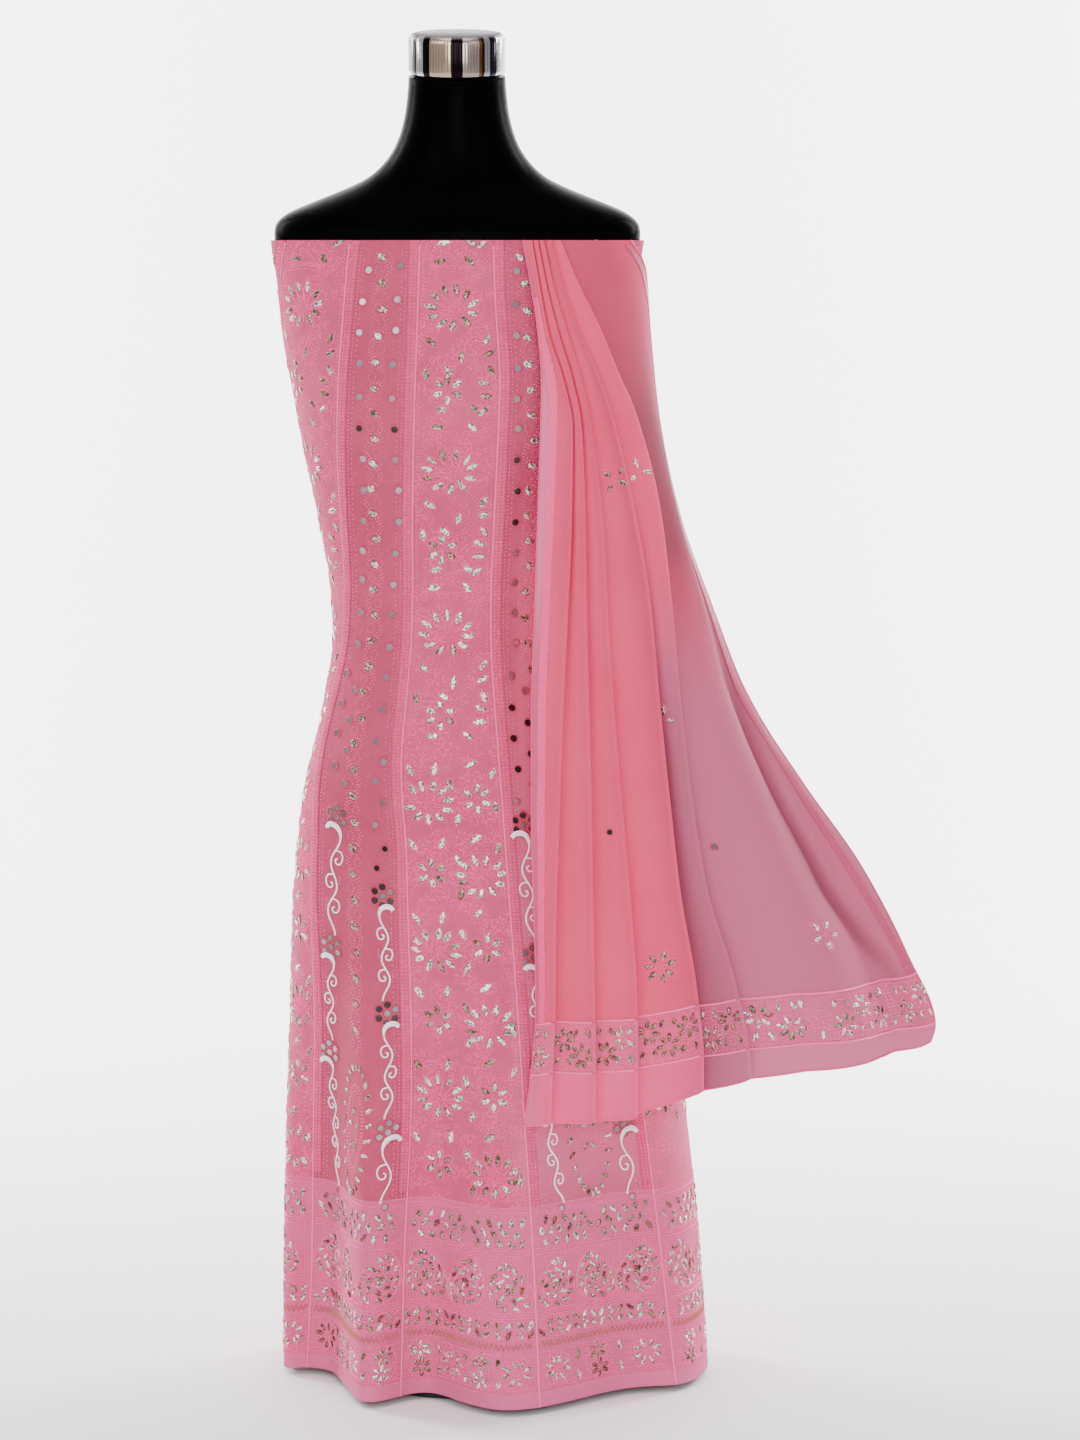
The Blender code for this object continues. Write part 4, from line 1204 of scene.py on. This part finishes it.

# Silver leaves: flecked metal foil whose sheen varies with the way it lies; silver to brown by tone, partly
# tarnish, partly painted shade
foil = principled("gota_silver", (0.90, 0.88, 0.86), 0.28, metallic=0.60)
tarnish_and_shade = ramp(foil, node(foil, "Attribute", "Fac", attribute_name="tone"), (
    (0.0, 1.0, 0.94, 0.87), (0.30, 0.72, 0.58, 0.48), (0.65, 0.35, 0.22, 0.14), (1.0, 0.26, 0.10, 0.07)))
flecks = noise(foil, 430.0, 2.0)
surface(foil, base_color=scaled(foil, tarnish_and_shade["Color"], mapped(foil, flecks, 0.44, 0.53, (0.15, 1.0))))
raised(foil, flecks, 0.5, 0.0006)

# Mirror glass, silvered, with a painted reflection: by its tone a mirror is painted from pale grey to black
glass = principled("mirror_glass", (0.6, 0.62, 0.66), 0.12, metallic=0.75)
surface(glass, base_color=ramp(glass, node(glass, "Attribute", "Fac", attribute_name="tone"), (
    (0.0, 0.48, 0.39, 0.50), (0.45, 0.24, 0.19, 0.22), (1.0, 0.012, 0.010, 0.014)))["Color"])

pink_thread = thread_finish("pink_thread", (1.0, 0.110, 0.360))
knot_thread = thread_finish("knot_thread", (1.0, 0.165, 0.410))
ring_thread = thread_finish("ring_thread", (0.50, 0.035, 0.075))
zari_thread = thread_finish("gold_thread", (0.55, 0.20, 0.13), 0.4)
white_cord = thread_finish("white_cord", (0.98, 0.94, 0.98))


def within(chart, paths, margin):
    """The paths that keep a margin from a sheet's long edges and end below its upper edge."""
    return [(path, radius) for path, radius in paths
            if np.all(np.abs(path[:, 0]) < chart.half(path[:, 1]) - margin)
            and np.all(path[:, 1] < chart.ups[-1])]


def lay_work(name, chart, work, margin=0.006):
    """All of one sheet's needlework, each kind in its own object."""
    for kind, pattern, places, finish, inset, smooth in (
            ("stitches", STITCH, work.stitches, knot_thread, 0.002, 50),
            ("gota", LEAF, work.leaves, foil, margin, 18),
            ("mirrors", MIRROR, work.mirrors, glass, margin, 50),
            ("mirror_rings", RING, work.rings, ring_thread, margin, 50)):
        if places:
            lay(name + "_" + kind, chart, pattern, places, finish, inset, smooth)
    for kind, paths, finish, sides in (
            ("threads", within(chart, work.lines, 0.001), pink_thread, 3),
            ("white_cords", within(chart, work.cords, 0.002), white_cord, 5),
            ("zari", work.zari, zari_thread, 3)):
        if paths:
            tubes(name + "_" + kind, chart, paths, finish, sides)


for name, finish in KALIS:
    lay_work("kali_" + name, charts[name], works[name])


# Dupatta's drape
# A stole of sheer georgette hangs from the kurta's rim in five knife pleats and flares out free to the
# right. The tables give its sections and the lengths of its threads; each thread keeps its own length.
DUPATTA_SECTIONS = (
    # drop  edge   fold_1 fold_2 fold_3 fold_4 fold_5 tuck    layer   reach   depth  turn
    (0.000, 0.068, 0.077, 0.083, 0.089, 0.096, 0.106, 0.0035, 0.0020, 0.1965, 0.090, 66.0),
    (0.050, 0.077, 0.085, 0.092, 0.099, 0.109, 0.125, 0.0040, 0.0021, 0.1965, 0.108, 85.0),
    (0.100, 0.084, 0.094, 0.104, 0.113, 0.125, 0.146, 0.0050, 0.0022, 0.1995, 0.123, 96.0),
    (0.150, 0.087, 0.109, 0.118, 0.127, 0.144, 0.164, 0.0055, 0.0024, 0.2045, 0.129, 98.0),
    (0.200, 0.086, 0.118, 0.127, 0.137, 0.159, 0.182, 0.0060, 0.0027, 0.2110, 0.131, 98.0),
    (0.300, 0.083, 0.117, 0.131, 0.149, 0.181, 0.206, 0.0085, 0.0033, 0.2330, 0.131, 97.0),
    (0.400, 0.080, 0.113, 0.133, 0.155, 0.198, 0.219, 0.0100, 0.0038, 0.267, 0.131, 94.0),
    (0.500, 0.077, 0.109, 0.136, 0.162, 0.208, 0.229, 0.0100, 0.0042, 0.306, 0.132, 90.0),
    (0.600, 0.077, 0.106, 0.139, 0.171, 0.219, 0.242, 0.0100, 0.0046, 0.363, 0.134, 86.0),
    (0.700, 0.080, 0.103, 0.141, 0.180, 0.231, 0.259, 0.0100, 0.0050, 0.427, 0.138, 82.0),
    (0.800, 0.082, 0.102, 0.143, 0.187, 0.248, 0.288, 0.0090, 0.0052, 0.479, 0.144, 80.0),
    (0.880, 0.076, 0.099, 0.144, 0.188, 0.256, 0.304, 0.0090, 0.0052, 0.513, 0.150, 78.0),
    (0.930, 0.069, 0.097, 0.144, 0.187, 0.256, 0.306, 0.0090, 0.0052, 0.508, 0.155, 78.0),
)
THREAD_LENGTHS = (0.876, 0.876, 0.873, 0.880, 0.884, 0.904, 0.926)
STRIP_HEIGHTS = (0.054, 0.051, 0.038, 0.032, 0.029, 0.026, 0.021)
FLARE_WAVES = (
    # share push
    (0.00, 0.000),
    (0.36, 0.011),
    (0.74, -0.013),
    (1.00, 0.004),
)
# A long hollow fold comes out of the waist, meets the right edge and runs back down through the flare
# Painted shade: the table's last column darkens the cloth along the fold
HOLLOW = (
    # drop  share  depth   left  right shade
    (0.150, 0.05, 0.0000, 0.12, 0.10, 0.00),
    (0.240, 0.14, 0.0000, 0.12, 0.60, 0.30),
    (0.330, 0.30, 0.0000, 0.16, 0.60, 0.62),
    (0.430, 0.52, 0.0020, 0.20, 0.50, 0.80),
    (0.520, 0.68, 0.0070, 0.18, 0.14, 0.82),
    (0.620, 0.63, 0.0110, 0.15, 0.06, 0.80),
    (0.700, 0.64, 0.0110, 0.13, 0.05, 0.75),
    (0.760, 0.73, 0.0080, 0.11, 0.05, 0.60),
    (0.815, 0.86, 0.0040, 0.08, 0.05, 0.35),
    (0.930, 0.90, 0.0000, 0.08, 0.05, 0.00),
)
# Painted shade: above the hip, where the flare turns away round the side, its shade is painted
FLARE_SHADE = (
    # drop  share
    (0.000, 0.42),
    (0.080, 0.50),
    (0.150, 0.66),
    (0.210, 0.90),
    (0.330, 0.90),
    (0.380, 0.55),
    (0.440, 0.22),
    (0.520, 0.00),
    (0.930, 0.00),
)
# Points round a pleat's turned edge and round its inner one: how far from it, and on which layer
OUTER_TURN = ((0.3, 1.85), (0.0, 1.5), (0.3, 1.15), (1.0, 1.0))
INNER_TURN = ((1.0, 1.0), (0.3, 0.85), (0.0, 0.5), (0.3, 0.15), (1.0, 0.0))
FOLD_ROUND = 0.0010
BAND_TOP = 0.820
BAND_BOTTOM = 0.874
DUPATTA_DROP = 0.930
SEAM_GAP = 0.00025
DUPATTA_REST = 0.00095
LACE_MARGIN = 0.028
CLOTH_ROWS = 150
BAND_ROWS = 12
FIRST_STRETCH = 14
STRETCH = 9
FLARE = 44

drops = np.concatenate([np.linspace(start, end, count) for start, end, count in (
    (0.0, BAND_TOP - SEAM_GAP, CLOTH_ROWS), (BAND_TOP + SEAM_GAP, BAND_BOTTOM - SEAM_GAP, BAND_ROWS),
    (BAND_BOTTOM + SEAM_GAP, DUPATTA_DROP, BAND_ROWS))])
down = drops[:, None]
left_edge, *folds, tuck, layer, reach, depth, turn_end = smooth_table(DUPATTA_SECTIONS, drops).T[:, :, None]
stations, fronts, fold_columns = [], [], []
start, count = left_edge, FIRST_STRETCH
for fold in folds:
    back = fold - tuck
    first = len(stations)
    stations += [(start + share * (back - start), 2 * ease(share))
                 for share in np.linspace(0, 1, count, endpoint=False)]
    stations += [(back, 2.0), ((back + fold) / 2, 2.0), (fold - FOLD_ROUND, 2.0)]
    fronts.append((first, len(stations) - 1))
    fold_columns.append(len(stations) + 1)
    stations += [(fold - step * FOLD_ROUND, level) for step, level in OUTER_TURN]
    stations += [(back + step * FOLD_ROUND, level) for step, level in INNER_TURN]
    start, count = fold + FOLD_ROUND, STRETCH
stations, levels = zip(*stations)
flare_from = len(levels)
turn_start = np.degrees(np.arcsin((folds[-1] + FOLD_ROUND) / reach))
shares = np.linspace(0, 1, FLARE)
turns = [np.degrees(np.arcsin(np.hstack(stations) / reach)), turn_start + (turn_end - turn_start) * shares]
turns = np.radians(np.hstack(turns))
wave_shares, pushes = np.array(FLARE_WAVES).T
waves = np.interp(shares, wave_shares, np.arange(len(pushes)))
low = np.minimum(waves.astype(int), len(pushes) - 2)
wave = pushes[low] + (pushes[low + 1] - pushes[low]) * 0.5 * (1 - np.cos(np.pi * (waves - low)))
place, sink, left, right, shade = smooth_table(HOLLOW, drops).T[:, :, None]
in_hollow = np.exp(-((shares - place) / np.where(shares < place, left, right)) ** 2)
flare_lift = wave * ease(down / DUPATTA_DROP) - sink * in_hollow
lifts = DUPATTA_REST + np.hstack([np.array(levels) * layer, flare_lift])
outward = np.stack([np.sin(turns) / reach, -np.cos(turns) / depth], axis=-1)
outward /= np.linalg.norm(outward, axis=-1, keepdims=True)
flat = np.stack([reach * np.sin(turns), -depth * np.cos(turns)], axis=-1) + outward * lifts[..., None]
run = run_along(flat[-1])
flare_run = run[-1] - run[flare_from] - LACE_MARGIN
stops = [0.0, *run[fold_columns[2:]], run[flare_from] + 0.3 * flare_run, run[flare_from] + 0.8 * flare_run,
         run[-1]]
above = np.interp(run, stops, THREAD_LENGTHS) / BAND_BOTTOM
along_strip = np.interp(run, stops, STRIP_HEIGHTS) / (DUPATTA_DROP - BAND_BOTTOM)
on_strip = np.arange(1, len(drops))[:, None] > CLOTH_ROWS + BAND_ROWS
lengths = np.diff(drops)[:, None] * np.where(on_strip, along_strip, above)
moved = np.linalg.norm(np.diff(flat, axis=0), axis=2)
falls = np.sqrt(np.maximum(lengths ** 2 - moved ** 2, (0.4 * lengths) ** 2))
fallen = np.vstack([np.zeros(flat.shape[1]), np.cumsum(falls, axis=0)])
middle = np.dstack([flat, (RIM_HEIGHT - RIM_SLOPE * flat[0, :, 1]) - fallen])

# How far each point looks sheer, hangs before pale cloth or is painted with deep shade
marks = {mark: np.zeros(middle.shape[:2]) for mark in ("sheer", "veil", "painted_shade")}
sheerness, painted_shade_share = marks["sheer"], marks["painted_shade"]
sheerness[:, :6] = 0.75
sheerness[:, 6:10] = np.linspace(0.7, 0.1, 4)
sheerness[:, fronts[-1][0]:] = ease((down - 0.32) / 0.20)
marks["veil"][:, :10] = sheerness[:, :10] * (ease((down - 0.08) / 0.10) * ease((0.46 - down) / 0.12))
# Painted shade: along the hollow fold, and on the flare's side that turns away above the hip
painted_shade_share[:, flare_from:] = np.maximum(in_hollow * shade, smooth_table(FLARE_SHADE, drops)
                                      * (1 - 0.5 * ease((shares - 0.45) / 0.35)))
# Painted shade: each pleat's face darkens towards its folded edge
for (first, last), strength in zip(fronts, (0.22, 0.22, 0.22, 0.36)):
    painted_shade_share[:, first:last] = strength * np.linspace(0, 1, last - first) ** 2
# Painted shade: the stretch before the last fold darkens from the hip down, where the fold shades it
first, last = fronts[-1]
painted_shade_share[:, first:last] = 0.62 * ease((down - 0.42) / 0.14) * np.linspace(1.0, 0.55, last - first)


# Dupatta's cloth
# The cloth, its embroidered end band and the plain hem strip are cut from one length; the band's ground is
# faced with a second layer. Where the cloth hangs single it looks thinner and paler than in the pleats.
SHEER_CLOTH = 0.0009
# Painted shade: the dark colour mixed into the dupatta's cloths where shade is painted
PAINTED_SHADE = ("painted_shade", (0.230, 0.040, 0.068))
dupatta_cloth = georgette("dupatta_georgette", (0.800, 0.050, 0.145), (0.840, 0.062, 0.165),
                          (("sheer", (0.510, 0.105, 0.195)), ("veil", (0.760, 0.185, 0.325)), PAINTED_SHADE))
band_cloth = georgette("dupatta_band_georgette", (0.700, 0.080, 0.190), (0.740, 0.095, 0.215),
                       (("sheer", (0.540, 0.110, 0.205)), PAINTED_SHADE))
fill_ground(band_cloth, FILLING, ((0.0, 0.25, 0.40, 0.0, 1.0),))
strip_cloth = georgette("dupatta_strip_georgette", (0.860, 0.072, 0.220), (0.900, 0.088, 0.245),
                        (("sheer", (0.620, 0.130, 0.260)), PAINTED_SHADE))
dupatta_charts = {}
first = 0
for name, count, cloth, slot in (("dupatta_cloth", CLOTH_ROWS, dupatta_cloth, "dupatta_georgette"),
                                 ("dupatta_end_band", BAND_ROWS, band_cloth, "dupatta_band"),
                                 ("dupatta_hem_strip", BAND_ROWS, strip_cloth, "dupatta_georgette")):
    rows = slice(first, first + count)
    first += count
    chart = Chart(middle[rows][::-1])
    dupatta_charts[name] = chart
    sheet = hang_sheet(name + "_sheer", chart, SHEER_CLOTH, cloth, 0.0,
                       **{mark: values[rows][::-1] for mark, values in marks.items()})
    chart.cut()
    settle(sheet, name)


def front_of(name, columns):
    """The chart of a visible part of one of the dupatta's sheets, on its outer face."""
    whole = dupatta_charts[name]
    return Chart(whole.points[:, columns] + whole.normals[:, columns] * (SHEER_CLOTH / 2))


# The visible stretches, from the left edge to the last pleat, and the flare
STRETCHES = [slice(*ends) for ends in fronts] + [slice(flare_from, None)]

# Dupatta's laces
# A narrow scalloped lace of pink thread is sewn flat on the cloth along each long edge, a finger's breadth
# inside it. Both laces end where the end band begins.
LACE_THICKNESS = 0.0006
LACE_HALF = 0.0042
SCALLOP = 0.0013
SCALLOP_PITCH = 0.0095
INSET_UPS = (0.0, 0.14, 0.30, 0.80)
lace_thread = thread_finish("lace_thread", (0.95, 0.045, 0.225))
# Painted shade: the right lace is the same thread painted darker, where it lies in shade on the flare
shaded_lace = thread_finish("lace_thread_painted_shade", (0.50, 0.045, 0.130))
for name, columns, side, thread, below_rim, insets in (
        ("dupatta_lace_left", STRETCHES[0], -1, lace_thread, 0.060, (0.0135, 0.0135, 0.0135, 0.0135)),
        ("dupatta_lace_right", STRETCHES[-1], 1, shaded_lace, 0.006, (0.0110, 0.0230, 0.0140, 0.0120))):
    ground = front_of("dupatta_cloth", columns)
    ups = np.arange(0.0, ground.ups[-1] - below_rim, 0.0024)
    edge = ground.half(ups)
    inset = smooth_table(list(zip(INSET_UPS, insets)), ups)[:, 0]
    centre = side * (edge - np.minimum(inset, 1.08 * edge))
    half = np.minimum(LACE_HALF + SCALLOP * np.abs(np.sin(math.pi * ups / SCALLOP_PITCH)), 0.80 * edge)
    strip = ground.over(centre[:, None] + half[:, None] * np.linspace(-1, 1, 5), ups, LACE_THICKNESS + 0.0002)
    lace = hang_sheet(name + "_trim", strip, LACE_THICKNESS, thread)
    strip.cut()
    settle(lace, name)
    work = Needlework(30 + side)
    for shift, start in ((-0.0017, 0.001), (0.0017, 0.0034)) if side < 0 else ():
        work.dots(track(shift, np.arange(start, strip.ups[-1], 0.006)), gap=0.0048)
    lay_work(name, strip, work)


# Dupatta's needlework
# Round cords are stitched over the end band's two seams and the edges are rolled. The band carries silver
# flowers in outlines of thread, and a few flowers and mirrors are scattered over the cloth.
SCATTERED = (
    # stretch across   up      petals reach   turn  tone
    (3, 0.0050, 0.5607, 4, 0.0100, 0.85, 0.60),
    (4, 0.0040, 0.5640, 3, 0.0095, 1.80, 0.05),
    (4, -0.0025, 0.3053, 3, 0.0075, 1.50, 0.35),
    (5, -0.0128, 0.0624, 5, 0.0120, 1.05, 0.05),
    (3, -0.0028, 0.0479, 7, 0.0115, 0.30, 0.55),
)
CORD_RADIUS = 0.0011
EDGE_RADIUS = 0.0008
CLOTH_MARGIN = 0.0015


def crossing(chart, v, up):
    """A path from one long edge of a sheet to the other."""
    half = chart.half(v)
    return track(np.linspace(-half, half, max(6, int(half / 0.002))), up)


flower_works = [Needlework(40 + number) for number in range(len(STRETCHES))]
for stretch, across, up, petals, reach, turn, tone in SCATTERED:
    flower_works[stretch].flower(across, up, reach, reach, petals, turn,
                                 length=0.0100, width=0.0066, tone=tone)
# Painted reflection: the two mirrors on the cloth are painted near black and mid grey
flower_works[2].mirror(0.0056, 0.1983, 0.0056, 0.95)
flower_works[5].mirror(-0.0818, 0.1694, 0.0056, 0.45)
for number, columns in enumerate(STRETCHES):
    cloth, band, strip = [front_of(name, columns) for name in dupatta_charts]
    lay_work("dupatta_cloth_%d" % number, cloth, flower_works[number], CLOTH_MARGIN)
    seams = [(crossing(band, v, v), CORD_RADIUS) for v in (0.0, band.ups[-1])]
    tubes("dupatta_band_cords_%d" % number, band, seams, pink_thread, sides=5)
    hem = [(crossing(strip, 0.0, 0.0003), EDGE_RADIUS)]
    tubes("dupatta_rolled_hem_%d" % number, strip, hem, lace_thread, sides=5)
    work = Needlework(50 + number)
    half = band.half(0.027)
    for v in (0.0034, 0.0505):
        work.dots(track(np.linspace(0.002 - half, half - 0.002, 30), v))
    count = max(1, int(round(2 * half / 0.024)))
    for k in range(count):
        u = ((k + 0.5) / count - 0.5) * (2 * half)
        if number == 5 and k % 4 == 2:
            for shift in (-0.0062, -0.0030, 0.0030, 0.0062):
                work.dots(np.array([(u + shift, 0.006), (u + shift, 0.048)]))
            for shift, v in ((-0.0120, 0.0440), (0.0005, 0.0095)):
                work.leaf(u + shift, v, math.pi / 2 - 0.2, 0.0092, 0.0062, 0.0)
            continue
        flower_up, leaf_up = (0.0350, 0.0125) if (k + number) % 2 else (0.0185, 0.0425)
        tone = None if number == 5 else work.chance.uniform(0.3, 0.85)
        work.flower(u, flower_up, 0.0088, 0.0088, 7, work.chance.uniform(0, 1),
                    length=0.0092, width=0.0060, tone=tone)
        for shift in (-0.0066, 0.0066):
            work.leaf(u + shift, leaf_up, math.pi / 2 + 60 * shift, 0.0086, 0.0056, tone)
        work.petal((u - 0.008, leaf_up), (u + 0.008, leaf_up), 0.0040)
    lay_work("dupatta_band_%d" % number, band, work, CLOTH_MARGIN)
for name in dupatta_charts:
    for mark, columns, side in (("left", STRETCHES[0], -1), ("right", STRETCHES[-1], 1)):
        ground = front_of(name, columns)
        ups = np.linspace(0.0, ground.ups[-1], max(4, int(ground.ups[-1] / 0.006)))
        edge = track(side * (ground.half(ups) - 0.0003), ups)
        tubes("%s_%s_edge" % (name, mark), ground, [(edge, EDGE_RADIUS)], lace_thread, sides=5)
